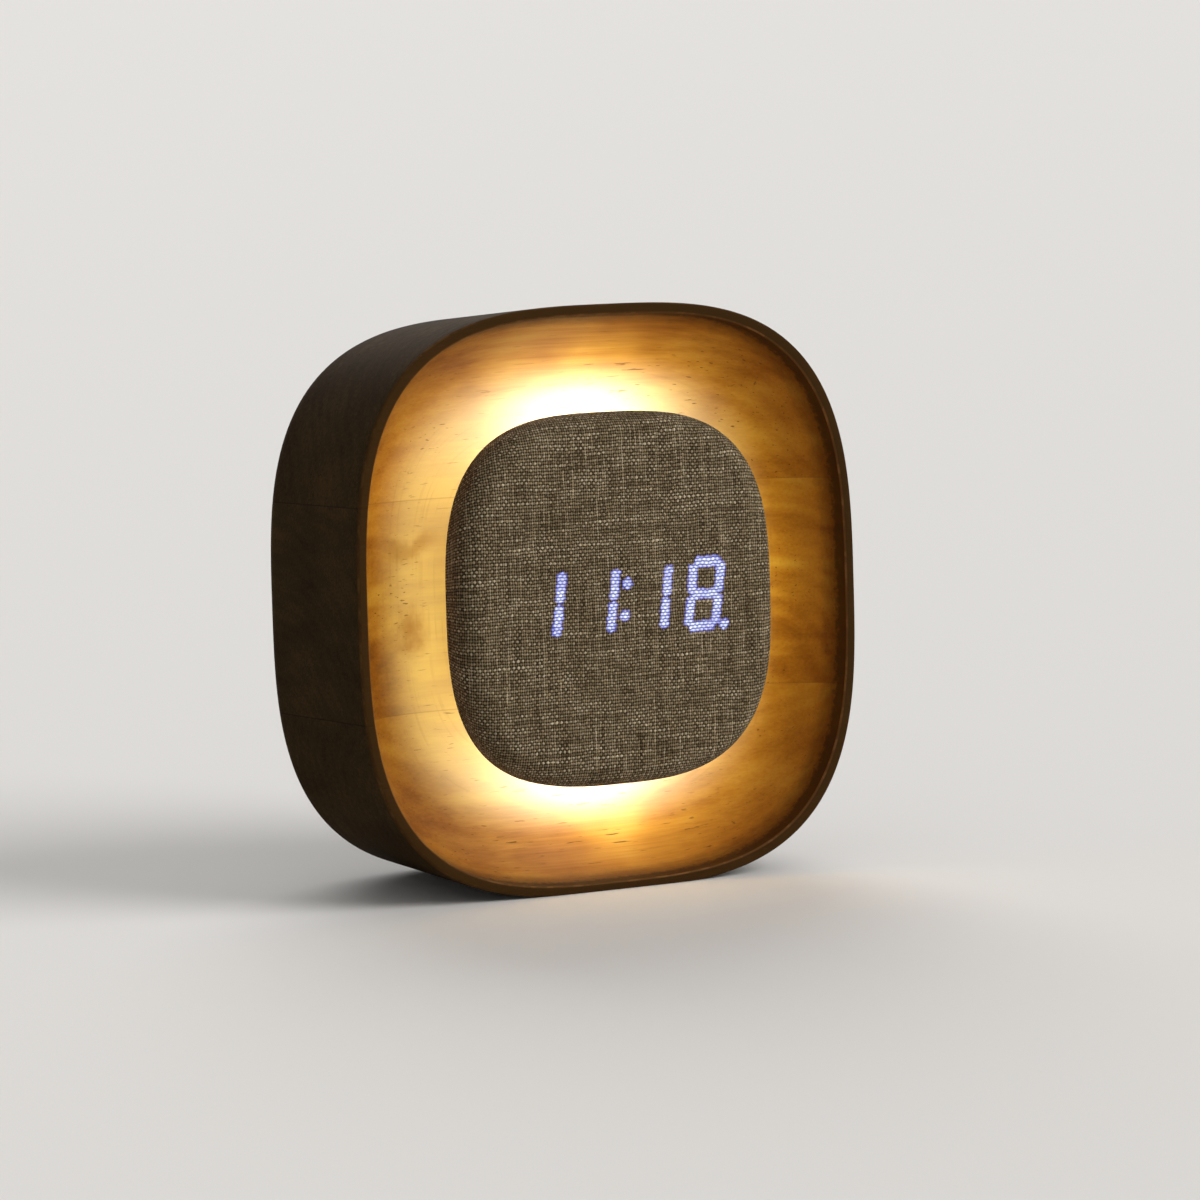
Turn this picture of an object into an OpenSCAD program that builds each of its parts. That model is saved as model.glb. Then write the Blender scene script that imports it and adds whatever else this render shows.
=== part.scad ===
// Wooden alarm clock: a tapered dish of dark-stained wood with a lit inside, and a cloth-covered
// pod in the middle that shows the time through its weave. It leans back on a flat under its wall.
// Every piece is drawn about the clock's own axis: X to the right, Y from the rim plane towards
// the back, Z up from the middle of the dish. stand() then sets the clock on the table.

/* [Wooden shell] */
// Width and height of the front rim
shell_w = 125; // [118:0.5:132]
// Width and height at the back, measured before its edge is rounded
shell_back_w = 120; // [116:0.5:123]
// Depth from the rim plane to the back face
shell_d = 47; // [46:0.5:54]
// How square the outline is: 2 is round, larger is squarer
shell_power = 3.1; // [2.9:0.05:3.6]
// Width of the dark flat land along the rim
rim_land = 2.2; // [1.8:0.1:3.5]
// Rounding of the two edges of the rim
rim_round = 0.5; // [0.3:0.05:0.8]
// Radius of the rounded edge at the back
back_round = 8; // [5:0.5:10]
// Depth of the dish from the rim plane to its floor
dish_d = 18; // [16:0.5:19]
// Width of the flat floor of the dish
dish_floor_w = 68; // [58:1:76]
// Wood left between the dish and the electronics pocket
dish_floor_t = 4; // [3.5:0.25:5]
// Height planed off under the shell, which makes the flat that it stands on
base_flat = 0.5; // [0.3:0.05:0.9]
// Width of the electronics pocket at the back
pocket_w = 76; // [74:0.5:78]

/* [Pod] */
// Width and height of the cloth-covered pod
pod_w = 79.2; // [77:0.2:82]
// How far the pod stands out in front of the rim plane
pod_proud = 4.8; // [3.5:0.1:6]
// Thickness of the pod from its front to its turned hem
pod_t = 8.4; // [8.2:0.1:10]
// Radius of the rounded front edge
pod_round = 5; // [4:0.25:5.5]
// How much the front face bulges in the middle
pod_crown = 0.5; // [0.2:0.05:0.8]
// How square the pod's outline is
pod_power = 3; // [2.8:0.05:3.3]
// Thickness of the cloth
cloth_t = 0.6; // [0.4:0.05:0.8]
// Wall of the moulded front shell
pod_wall = 1.8; // [1.4:0.1:2]
// Thickness of the plate that closes the back of the pod
plate_t = 1.8; // [1.4:0.1:2]
// Outer radius of the pedestal that carries the pod
pedestal_r = 17; // [16:0.25:18.5]
// Wall of the pedestal
pedestal_wall = 2.5; // [2:0.1:3]

/* [Light] */
// Width of the lit ring between the pod's wall and the plate that closes the pod
light_w = 6; // [5.4:0.1:6.6]
// Thickness of the diffuser's clamped flange
flange_t = 0.8; // [0.6:0.05:1]
// How far the flange reaches in under the plate
flange_lap = 1.5; // [1:0.1:2]
// Thickness of the lamp board
lamp_board_t = 1; // [0.8:0.05:1.2]
// Height of a lamp chip
lamp_h = 0.5; // [0.4:0.05:0.6]
// Width of a lamp chip
lamp_w = 2.2; // [1.6:0.1:3]
// Lamp chips round the ring
lamp_count = 24; // [12:4:32]

/* [Display] */
// Height of a digit between the middles of its outer bars
digit_h = 13.6; // [12:0.2:14]
// Width of a digit between the middles of its side bars
digit_w = 7; // [6:0.2:7.6]
// Spacing of the digits
digit_pitch = 13.4; // [12.8:0.1:13.8]
// Width of a lit bar
bar_w = 1.4; // [1.1:0.1:1.6]
// Sideways lean of the digits per unit of height
digit_slant = 0.14; // [0:0.01:0.2]
// Height of the lit bars above the face of the display block
bar_t = 0.4; // [0.3:0.05:0.6]
// Margin of the display block round the digits
block_margin = 1.6; // [1.2:0.1:2]
// Margin of the display board round the display block
display_board_margin = 4.6; // [4.4:0.1:5]
// Thickness of the display board
display_board_t = 1; // [0.8:0.05:1.2]

/* [Back] */
// Width of the rear cover
cover_w = 90; // [88:0.5:92]
// Thickness of the rear cover
cover_t = 2.5; // [2.2:0.1:3]
// How far the cover lies below the wooden back
cover_sunk = 0.4; // [0.2:0.05:0.8]
// Radius of a button
button_r = 3.4; // [3:0.1:3.8]
// How far a button stands out of the cover
button_proud = 0.8; // [0.6:0.1:1.2]
// Travel of a button
button_travel = 0.5; // [0.3:0.05:0.6]
// Spacing of the buttons
button_pitch = 14; // [12.5:0.25:14.5]
// Height of the button row from the middle
button_z = -6; // [-7:0.25:-5]
// Height of the charging socket from the middle
usb_z = -21; // [-22:0.25:-19]
// Height of the sounder from the middle
sounder_z = 20; // [19.5:0.25:21]
// Radius of the sounder
sounder_r = 10; // [9:0.25:10.5]
// Radius of one hole in the sounder's grille
grille_hole_r = 0.8; // [0.6:0.05:0.9]
// Spacing of those holes
grille_pitch = 2.9; // [2.4:0.1:3]

/* [Electronics] */
// Width of the main board
board_w = 56; // [54.5:0.5:57]
// Height of the main board
board_h = 36; // [34:0.5:37]
// Thickness of the main board
board_t = 1.6; // [1.2:0.1:1.8]
// Height of the main board's middle
board_z = -12; // [-12.5:0.25:-11.5]
// Side of a push switch
switch_w = 6; // [5.5:0.1:6.2]
// Height of a push switch's housing
switch_h = 3.5; // [3.1:0.1:3.8]
// Radius of a push switch's plunger
plunger_r = 1.7; // [1.5:0.05:2]
// Width of the battery
battery_w = 46; // [42:0.5:47]
// Height of the battery
battery_h = 19; // [17:0.5:20]
// Thickness of the battery
battery_t = 9; // [7:0.25:9.5]
// Height of the battery's middle
battery_z = 23; // [22.5:0.25:24]
// Thickness of the foam pad behind the battery
battery_pad_t = 1; // [0.6:0.1:1.4]
// Width of the ribbon cable
ribbon_w = 7.6; // [6:0.2:8]
// Thickness of the ribbon cable
ribbon_t = 0.9; // [0.7:0.05:1.2]

/* [Fasteners and clearances] */
// Radius of a screw's shank
screw_r = 1.2; // [1:0.05:1.4]
// Radius of a screw's head
screw_head_r = 2.3; // [2.2:0.05:2.5]
// Height of a screw's head
screw_head_h = 1.2; // [1:0.05:1.3]
// Gap between a piece and the seat it drops into
seat_gap = 0.15; // [0.1:0.05:0.2]
// Gap between a button and its hole
button_gap = 0.3; // [0.25:0.05:0.4]
// Gap between a screw or plunger and its hole
pin_gap = 0.05; // [0.03:0.01:0.1]

/* [Hidden] */
$fn = 48;

// Points on one outline, the angle step of a rounded profile, and the overrun of a cut
outline_points = 80;
round_step = 15;
dish_step = 7.5;
rim_step = 45;
cut = 1;

// Shell: main places along its depth, and the lean that its taper gives it
shell_half = shell_w / 2;
back_half = shell_back_w / 2;
lean = atan((shell_half - back_half) / (shell_d - back_round));
lip_half = shell_half - rim_land;
floor_half = dish_floor_w / 2;
pocket_half = pocket_w / 2;
pocket_d = dish_d + dish_floor_t;
cover_half = cover_w / 2;
cover_back = shell_d - cover_sunk;
cover_front = cover_back - cover_t;

// Pod: main places along its depth, from the cloth backwards
pod_half = pod_w / 2;
pod_flat_half = pod_half - pod_round;
pod_rear = pod_t - pod_proud;
skin_gap = 0.05;
skin = cloth_t + skin_gap;
hem_round = cloth_t / 2;
front_shell_half = pod_half - skin;
front_shell_inner = front_shell_half - pod_wall;
front_shell_rear = pod_rear - skin;
inner_face = -pod_proud + skin + pod_crown + pod_wall;
plate_sunk = 0.2;
lamp_ring_outer = front_shell_inner - seat_gap;
plate_half = lamp_ring_outer - light_w;
plate_back = pod_rear - plate_sunk;
plate_front = plate_back - plate_t;
flange_front = plate_front - flange_t;
lamp_gap = 0.1;
lamp_board_back = flange_front - lamp_gap - lamp_h;
lamp_board_front = lamp_board_back - lamp_board_t;
lamp_ring_inner = plate_half - flange_lap;
lamp_half = (plate_half + lamp_ring_outer) / 2;
ledge_w = 1.6;

// Display, from the cloth backwards
bars_front = -pod_proud + skin + pod_crown + skin_gap;
block_front = bars_front + bar_t;
block_w = 3 * digit_pitch + digit_w + digit_slant * digit_h + bar_w + 2 * block_margin;
block_h = digit_h + bar_w + 2 * block_margin;
display_board_w = block_w;
display_board_h = block_h + 2 * display_board_margin;
display_board_back = plate_front - lamp_gap;
display_board_front = display_board_back - display_board_t;
post_r = 1.8;
post_edge = 1;
post_gap = 0.7;
post_x = display_board_w / 2 - post_r - post_edge;
post_z = block_h / 2 + post_r + post_gap;

// Screws of the pod, and the pedestal with what passes through the dish floor
pilot_r = screw_r + pin_gap;
boss_wall = 1.5;
boss_r = screw_r + boss_wall;
boss_clear = 2.6;
boss_at = display_board_h / 2 + boss_r + boss_clear;
floor_boss_wall = 2;
floor_boss_r = screw_r + floor_boss_wall;
floor_boss_lap = 0.4;
floor_screw_at = (pedestal_r - pedestal_wall - floor_boss_r + floor_boss_lap) / sqrt(2);
floor_screw_bite = 8;
floor_screw_l = dish_floor_t + floor_screw_bite;
header_margin = 1;
header_t = 3.4;
header_w = ribbon_w + 2 * header_margin;
cable_clear = 2.2;
cable_hole_r = ribbon_w / 2 + cable_clear;

// Back: from the button's face forwards to the main board
key_x = [for (i = [-1.5:1:1.5]) i * button_pitch];
button_back = cover_back + button_proud;
button_flange_lap = 1;
button_flange_t = 1;
button_flange_back = cover_front - seat_gap;
button_front = button_flange_back - button_flange_t;
end_gap = 0.3;
plunger_in = 1.2;
switch_back = button_front - button_travel - end_gap;
board_back = switch_back - switch_h;
board_front = board_back - board_t;
board_post_wall = 1.4;
board_post_r = screw_r + board_post_wall;
board_post_inset = 3.2;
board_post_x = board_w / 2 - board_post_inset;
board_post_z = board_h / 2 - board_post_inset;
board_screw_bite = 4;
board_screw_l = board_t + board_screw_bite;

// Parts on the main board, their places as shares of its width and height
chip_w = 7;
chip_t = 1;
chip_share = [-0.23, 0];
charger_w = 4;
charger_t = 0.9;
charger_share = [0.23, -0.17];
coil_w = 5;
coil_t = 2.4;
coil_share = [0.36, -0.11];
crystal_w = 6;
crystal_h = 2.4;
crystal_t = 1.8;
crystal_share = [-0.23, 0.25];
capacitor_r = 2.2;
capacitor_h = 3;
capacitor_shares = [[0.16, 0.06], [0.27, 0.06]];

// Charging socket: the standard mouth, its wall and its tongue
usb_w = 8.94;
usb_h = 3.26;
usb_wall = 0.35;
usb_gap = 0.3;
usb_depth = 6.2;
usb_sunk = 0.5;
usb_back = cover_back - usb_sunk;
tongue_w = 6.69;
tongue_t = 0.7;
tongue_sunk = 0.9;

// Cover screws and the sounder behind its grille
cover_screw_at = (cover_half + pocket_half) / 2 * pow(2, -1 / shell_power);
cover_screw_l = 9;
head_sunk = 0.1;
cover_screw_seat = cover_back - screw_head_h - head_sunk;
grille_t = 1;
grille_inset = 1.5;
grille_r = sounder_r - grille_inset;
grille_lip = 0.8;
grille_rings = 2;
sounder_t = 3.2;
sounder_wall = 1;
sounder_well = 2.2;
magnet_r = sounder_r * 0.55;
magnet_t = 2.4;
seat_ring_t = 1.5;
seat_ring_h = 1.6;
cone_t = 0.4;
cone_rise = 0.8;
cone_sunk = 0.5;

// Wiring: heights of the headers and the size of a two-wire lead
display_header_z = 0;
main_header_z = -9;
lead_w = 2.4;
lead_t = 0.8;
lead_steps = 12;
lead_inset = 3;
battery_front = pocket_d + battery_pad_t;

// Place on the table: leaning, flat at Z 0, and the clock's box centred on X and Y
stand_z = shell_half * cos(lean) - base_flat;
front_reach = (-pod_proud + pod_crown + pod_round) * cos(lean) - pod_flat_half * sin(lean) - pod_round;
back_reach = (shell_d - back_round) * cos(lean) + (back_half - back_round) * sin(lean) + back_round;

module stand() {
  translate([0, -(front_reach + back_reach) / 2, stand_z])
    rotate([-lean, 0, 0])
      children();
}

// Shapes that the pieces share

function squircle_at(half, power, angle) =
  let (reach = half / pow(pow(abs(cos(angle)), power) + pow(abs(sin(angle)), power), 1 / power))
    [reach * cos(angle), reach * sin(angle)];

function squircle_points(half, power) = [
  for (i = [0:outline_points - 1]) squircle_at(half, power, 360 * i / outline_points)
];

function reversed(list) = [for (i = [len(list) - 1:-1:0]) list[i]];

// A closed skin through [half width, depth] pairs, from its front cap to its back cap
module squircle_loft(profile, power) {
  n = outline_points;
  last = len(profile) - 1;
  points = [for (s = profile) each [for (p = squircle_points(s[0], power)) [p[0], s[1], p[1]]]];
  sides = [
    for (k = [0:last - 1], i = [0:n - 1])
      let (a = k * n + i, b = k * n + (i + 1) % n)
        each [[a, b, b + n], [a, b + n, a + n]]
  ];
  front_cap = [for (i = [n - 1:-1:0]) i];
  back_cap = [for (i = [0:n - 1]) last * n + i];
  polyhedron(points, concat([front_cap], sides, [back_cap]), convexity = 10);
}

module squircle(half, power) {
  polygon(squircle_points(half, power));
}

// A flat shape in X and Z, given a thickness from one depth to another
module slab(from, to) {
  translate([0, to, 0])
    rotate([90, 0, 0])
      linear_extrude(height = to - from)
        children();
}

module rod(r, from, to) {
  translate([0, to, 0])
    rotate([90, 0, 0])
      cylinder(h = to - from, r = r);
}

module block(w, h, from, to) {
  translate([-w / 2, from, -h / 2])
    cube([w, to - from, h]);
}

module at(x, z) {
  translate([x, 0, z])
    children();
}

module at_corners(x, z) {
  for (sx = [-1, 1], sz = [-1, 1])
    at(sx * x, sz * z)
      children();
}

// A turned shape from [radius, distance forward of the given depth] points
module turned(back, points) {
  translate([0, back, 0])
    rotate([90, 0, 0])
      rotate_extrude()
        polygon(points);
}

module stadium(w, h) {
  square([w - h, h], center = true);
  for (side = [-1, 1])
    translate([side * (w - h) / 2, 0])
      circle(d = h);
}

// Pan-head screw with a cross recess, its shank pointing forwards from the plane under its head
module screw(length) {
  recess_w = screw_head_r * 0.28;
  recess_l = screw_head_r * 1.2;
  recess_d = screw_head_h * 0.6;
  difference() {
    union() {
      rod(screw_r, -length, 0);
      rod(screw_head_r, 0, screw_head_h);
    }
    for (turn = [0, 90])
      rotate([0, turn, 0])
        block(recess_l, recess_w, screw_head_h - recess_d, screw_head_h + cut);
  }
}

// Outline of a flat cable of the given thickness along [depth, height, heading] points
function band(line, t) = concat(
  [for (p = line) [p[0] - t / 2 * sin(p[2]), p[1] + t / 2 * cos(p[2])]],
  [for (p = reversed(line)) [p[0] + t / 2 * sin(p[2]), p[1] - t / 2 * cos(p[2])]]
);

module flat_cable(w, outline) {
  translate([-w / 2, 0, 0])
    rotate([90, 0, 90])
      linear_extrude(height = w)
        polygon(outline);
}

// Two-wire lead that leaves one piece downwards and meets a board squarely
module lead(from, to) {
  line = [
    for (i = [0:lead_steps])
      let (
        a = 90 * i / lead_steps,
        run = to[0] - from[0],
        drop = from[1] - to[1]
      )
        [from[0] + run * (1 - cos(a)), from[1] - drop * sin(a), atan2(-drop * cos(a), run * sin(a))]
  ];
  flat_cable(lead_w, band(line, lead_t));
}

// Wooden shell: dish, rim, tapered wall, rounded back, cover rebate and electronics pocket

dish_profile = [
  for (t = [0:dish_step:90])
    [floor_half + (lip_half - floor_half) * sin(t), rim_round + (dish_d - rim_round) * cos(t)]
];

rim_profile = concat(
  [for (t = [rim_step:rim_step:90]) [lip_half + rim_round * (1 - cos(t)), rim_round * (1 - sin(t))]],
  [for (t = [0:rim_step:90]) [shell_half - rim_round * (1 - sin(t)), rim_round * (1 - cos(t))]]
);

back_profile = concat(
  [for (t = [lean, each [round_step:round_step:90]])
    [back_half - back_round * (1 - cos(t)), shell_d - back_round * (1 - sin(t))]],
  [[cover_half + seat_gap, shell_d], [cover_half + seat_gap, cover_front]],
  [[pocket_half, cover_front], [pocket_half, pocket_d]]
);

module wood_shell() {
  color("#3a2a1c")
    difference() {
      stand()
        difference() {
          squircle_loft(concat(dish_profile, rim_profile, back_profile), shell_power);
          rod(cable_hole_r, dish_d - cut, pocket_d + cut);
          at_corners(floor_screw_at, floor_screw_at)
            rod(pilot_r, dish_d - cut, pocket_d + cut);
          at_corners(cover_screw_at, cover_screw_at)
            rod(pilot_r, cover_screw_seat - cover_screw_l - end_gap, cover_front + cut);
        }
      translate([-shell_w, -shell_w, -shell_w])
        cube([2 * shell_w, 2 * shell_w, shell_w]);
    }
}

// Pod: cloth, moulded front shell, display, lamps, diffuser and the base with its pedestal

function pod_face(inset) = let (
  half = pod_half - inset,
  radius = pod_round - inset,
  flat = half - radius,
  front = -pod_proud + inset
) concat(
  [for (s = [0.3, 0.65]) [flat * s, front + pod_crown * s * s]],
  [for (t = [0:round_step:90]) [flat + radius * sin(t), front + pod_crown + radius * (1 - cos(t))]]
);

module cloth_cover() {
  under = pod_rear - cloth_t;
  color("#5f564a")
    stand()
      squircle_loft(concat(
        pod_face(0),
        [[pod_half, pod_rear - hem_round], [pod_half - hem_round, pod_rear]],
        [[front_shell_inner, pod_rear], [front_shell_inner, under], [pod_half - cloth_t, under]],
        reversed(pod_face(cloth_t))
      ), pod_power);
}

module pod_front_shell() {
  ledge_half = front_shell_inner - ledge_w;
  root = inner_face - pod_wall / 2;
  color("#2b2b2b")
    stand()
      difference() {
        union() {
          squircle_loft(concat(
            pod_face(skin),
            [[front_shell_half, front_shell_rear], [front_shell_inner, front_shell_rear]],
            [[front_shell_inner, lamp_board_front], [ledge_half, lamp_board_front]],
            [[ledge_half, inner_face]]
          ), pod_power);
          at_corners(boss_at, boss_at)
            rod(boss_r, root, plate_front);
          at_corners(post_x, post_z)
            rod(post_r, root, display_board_front);
        }
        block(block_w + 2 * seat_gap, block_h + 2 * seat_gap, -pod_proud - cut, inner_face + cut);
        at_corners(boss_at, boss_at)
          rod(pilot_r, inner_face, plate_front + cut);
      }
}

// One six-cornered bar of a digit, lying along X or standing along Z, leant with the digit
function bar_points(x, z, length, upright) = [
  for (p = [[-1, 0], [-1, 1], [1, 1], [1, 0], [1, -1], [-1, -1]])
    let (
      tip = p[1] == 0 ? length / 2 : length / 2 - bar_w / 2,
      along = p[0] * tip,
      across = p[1] * bar_w / 2,
      px = x + (upright ? across : along),
      pz = z + (upright ? along : across)
    )
      [px + digit_slant * pz, pz]
];

module digit_bars(x) {
  tip_gap = 0.3;
  for (row = [-1, 0, 1])
    polygon(bar_points(x, row * digit_h / 2, digit_w - tip_gap, false));
  for (side = [-1, 1], row = [-1, 1])
    polygon(bar_points(x + side * digit_w / 2, row * digit_h / 4, digit_h / 2 - tip_gap, true));
}

module display_dot(x, z) {
  translate([x + digit_slant * z, z])
    circle(r = bar_w / 2);
}

module display_bars() {
  last_dot_x = 1.5 * digit_pitch + digit_w / 2 + 1.6 * bar_w;
  color("#dfe0ff")
    stand()
      slab(bars_front, block_front) {
        for (i = [-1.5:1:1.5])
          digit_bars(i * digit_pitch);
        for (row = [-1, 1])
          display_dot(0, row * digit_h / 4);
        display_dot(last_dot_x, -digit_h / 2);
      }
}

module display_block() {
  color("#1d1d20")
    stand()
      block(block_w, block_h, block_front, display_board_front);
}

module display_board() {
  color("#1f5a3a")
    stand()
      block(display_board_w, display_board_h, display_board_front, display_board_back);
}

module lamp_board() {
  color("#e9e9e4")
    stand()
      slab(lamp_board_front, lamp_board_back)
        difference() {
          squircle(lamp_ring_outer, pod_power);
          squircle(lamp_ring_inner, pod_power);
        }
}

module lamp_chips() {
  color("#f6e7a8")
    stand()
      for (i = [0:lamp_count - 1])
        let (p = squircle_at(lamp_half, pod_power, 360 * (i + 0.5) / lamp_count))
          at(p[0], p[1])
            block(lamp_w, lamp_w, lamp_board_back, lamp_board_back + lamp_h);
}

module light_diffuser() {
  color("#fff1cf")
    stand()
      difference() {
        slab(flange_front, plate_back)
          squircle(lamp_ring_outer, pod_power);
        slab(flange_front - cut, plate_back + cut)
          squircle(lamp_ring_inner, pod_power);
        slab(plate_front, plate_back + cut)
          squircle(plate_half + seat_gap, pod_power);
      }
}

module pod_base() {
  color("#232323")
    stand()
      difference() {
        union() {
          slab(plate_front, plate_back)
            squircle(plate_half, pod_power);
          difference() {
            rod(pedestal_r, plate_front, dish_d);
            rod(pedestal_r - pedestal_wall, plate_back, dish_d + cut);
          }
          at_corners(floor_screw_at, floor_screw_at)
            rod(floor_boss_r, plate_front, dish_d);
        }
        at(0, display_header_z)
          block(header_w + 1, header_t + 1, plate_front - cut, plate_back + cut);
        at_corners(boss_at, boss_at)
          rod(pilot_r, plate_front - cut, plate_back + cut);
        at_corners(floor_screw_at, floor_screw_at)
          rod(pilot_r, plate_back + end_gap, dish_d + cut);
      }
}

module pod_screws() {
  color("#9a9a9a")
    stand()
      at_corners(boss_at, boss_at)
        translate([0, plate_back, 0])
          screw(plate_back - inner_face - end_gap);
}

module pedestal_screws() {
  color("#9a9a9a")
    stand()
      at_corners(floor_screw_at, floor_screw_at)
        translate([0, pocket_d, 0])
          screw(floor_screw_l);
}

// Wiring from the display down through the pedestal to the main board

module ribbon_cable() {
  steps = 16;
  start = plate_back + header_t;
  bend = pocket_d + end_gap;
  run = board_front - header_t - bend;
  drop = main_header_z - display_header_z;
  s_bend = [
    for (i = [0:steps])
      let (turn = 180 * i / steps)
        [bend + run * i / steps, display_header_z + drop * (1 - cos(turn)) / 2,
          atan2(drop * PI / 2 * sin(turn), run)]
  ];
  color("#b9b9b9")
    stand()
      flat_cable(ribbon_w, band(concat([[start, display_header_z, 0]], s_bend), ribbon_t));
}

module display_header() {
  color("#efe9d8")
    stand()
      at(0, display_header_z)
        block(header_w, header_t, display_board_back, plate_back + header_t);
}

module main_header() {
  color("#efe9d8")
    stand()
      at(0, main_header_z)
        block(header_w, header_t, board_front - header_t, board_front);
}

// Battery on its pad on the pocket's floor, and its lead to the main board

module battery() {
  edge = 2;
  color("#4a6a9a")
    stand()
      at(0, battery_z)
        slab(battery_front, battery_front + battery_t) {
          square([battery_w - 2 * edge, battery_h], center = true);
          square([battery_w, battery_h - 2 * edge], center = true);
          for (sx = [-1, 1], sz = [-1, 1])
            translate([sx * (battery_w / 2 - edge), sz * (battery_h / 2 - edge)])
              circle(r = edge);
        }
}

module battery_pad() {
  pad_inset = 3;
  color("#d8d4c4")
    stand()
      at(0, battery_z)
        block(battery_w - 2 * pad_inset, battery_h - 2 * pad_inset, pocket_d, battery_front);
}

module battery_lead() {
  color("#a03028")
    stand()
      at(battery_w / 4, 0)
        lead([battery_front + battery_t / 2, battery_z - battery_h / 2],
          [board_front, board_z + board_h / 2 - lead_inset]);
}

// Main board on the cover's posts, with its parts, screws and push switches

module at_board_posts() {
  at(0, board_z)
    at_corners(board_post_x, board_post_z)
      children();
}

module main_board() {
  color("#1f5a3a")
    stand()
      difference() {
        at(0, board_z)
          block(board_w, board_h, board_front, board_back);
        at_board_posts()
          rod(pilot_r, board_front - cut, board_back + cut);
      }
}

module at_board_share(share) {
  at(share[0] * board_w, board_z + share[1] * board_h)
    children();
}

module board_components() {
  color("#2a2a2e")
    stand() {
      at_board_share(chip_share)
        block(chip_w, chip_w, board_front - chip_t, board_front);
      at_board_share(charger_share)
        block(charger_w, charger_w, board_front - charger_t, board_front);
      at_board_share(coil_share)
        block(coil_w, coil_w, board_front - coil_t, board_front);
      at_board_share(crystal_share)
        block(crystal_w, crystal_h, board_front - crystal_t, board_front);
      for (share = capacitor_shares)
        at_board_share(share)
          rod(capacitor_r, board_front - capacitor_h, board_front);
    }
}

module board_screws() {
  color("#9a9a9a")
    stand()
      at_board_posts()
        translate([0, board_front, 0])
          rotate([180, 0, 0])
            screw(board_screw_l);
}

module switch_housings() {
  color("#303030")
    stand()
      for (x = key_x)
        at(x, button_z)
          difference() {
            block(switch_w, switch_w, board_back, switch_back);
            rod(plunger_r + pin_gap, switch_back - plunger_in - button_travel - end_gap, switch_back + cut);
          }
}

module plunger(key) {
  color("#d0d0cc")
    stand()
      at(key_x[key], button_z)
        rod(plunger_r, switch_back - plunger_in, button_front);
}

// Button with a dished, rounded top and the flange that keeps it behind the cover
module button(key) {
  edge = 0.5;
  dish = 0.3;
  neck = button_back - button_flange_back;
  flange_r = button_r + button_flange_lap;
  color("#262626")
    stand()
      at(key_x[key], button_z)
        turned(button_back, [
          [0, dish], [button_r - 2 * edge, 0], [button_r - edge, 0], [button_r, edge], [button_r, neck],
          [flange_r, neck], [flange_r, neck + button_flange_t], [0, neck + button_flange_t]
        ]);
}

module set_plunger() {
  plunger(0);
}

module minus_plunger() {
  plunger(1);
}

module plus_plunger() {
  plunger(2);
}

module light_plunger() {
  plunger(3);
}

module set_button() {
  button(0);
}

module minus_button() {
  button(1);
}

module plus_button() {
  button(2);
}

module light_button() {
  button(3);
}

// Charging socket on the main board, its mouth in the cover

module usb_shell() {
  color("#b8bcc0")
    stand()
      at(0, usb_z)
        difference() {
          slab(board_back, usb_back)
            stadium(usb_w + 2 * usb_wall, usb_h + 2 * usb_wall);
          slab(usb_back - usb_depth, usb_back + cut)
            stadium(usb_w, usb_h);
        }
}

module usb_tongue() {
  color("#1a1a1a")
    stand()
      at(0, usb_z)
        block(tongue_w, tongue_t, usb_back - usb_depth, usb_back - tongue_sunk);
}

// Sounder on the inside of the cover, behind its grille

module sounder() {
  color("#3c3c3c")
    stand()
      at(0, sounder_z)
        difference() {
          union() {
            rod(sounder_r, cover_front - sounder_t, cover_front);
            rod(magnet_r, cover_front - sounder_t - magnet_t, cover_front - sounder_well);
          }
          rod(sounder_r - sounder_wall, cover_front - sounder_well, cover_front + cut);
        }
}

module sounder_cone() {
  rim = sounder_r - sounder_wall - seat_gap;
  color("#1c1c1c")
    stand()
      at(0, sounder_z)
        turned(cover_front - cone_sunk, [
          [0, cone_rise], [rim, 0], [rim, cone_t], [0, cone_rise + cone_t]
        ]);
}

module sounder_grille() {
  color("#2e2e2e")
    stand()
      at(0, sounder_z)
        difference() {
          rod(grille_r - seat_gap, cover_front, cover_front + grille_t);
          rod(grille_hole_r, cover_front - cut, cover_front + grille_t + cut);
          for (k = [1:grille_rings], j = [0:6 * k - 1])
            let (angle = 60 * j / k)
              at(k * grille_pitch * cos(angle), k * grille_pitch * sin(angle))
                rod(grille_hole_r, cover_front - cut, cover_front + grille_t + cut);
        }
}

module sounder_lead() {
  color("#7a3028")
    stand()
      lead([cover_front - sounder_t + lead_t, sounder_z - sounder_r],
        [board_back, board_z + board_h / 2 - lead_inset]);
}

// Rear cover with its board posts, sounder seat, button holes, socket mouth and screw seats

module rear_cover() {
  seat_r = sounder_r + seat_gap;
  color("#2a2622")
    stand()
      difference() {
        union() {
          slab(cover_front, cover_back)
            squircle(cover_half, shell_power);
          at_board_posts()
            rod(board_post_r, board_back, cover_front + cover_t / 2);
          at(0, sounder_z)
            difference() {
              rod(seat_r + seat_ring_t, cover_front - seat_ring_h, cover_front + cover_t / 2);
              rod(seat_r, cover_front - seat_ring_h - cut, cover_front);
            }
        }
        at_board_posts()
          rod(pilot_r, board_back - cut, board_front + board_screw_l + end_gap);
        for (x = key_x)
          at(x, button_z)
            rod(button_r + button_gap, cover_front - cut, cover_back + cut);
        at(0, usb_z)
          slab(cover_front - cut, cover_back + cut)
            stadium(usb_w + 2 * (usb_wall + usb_gap), usb_h + 2 * (usb_wall + usb_gap));
        at(0, sounder_z) {
          rod(grille_r, cover_front - cut, cover_front + grille_t);
          rod(grille_r - grille_lip, cover_front, cover_back + cut);
        }
        at_corners(cover_screw_at, cover_screw_at) {
          rod(pilot_r, cover_front - cut, cover_back + cut);
          rod(screw_head_r + seat_gap, cover_screw_seat, cover_back + cut);
        }
      }
}

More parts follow.
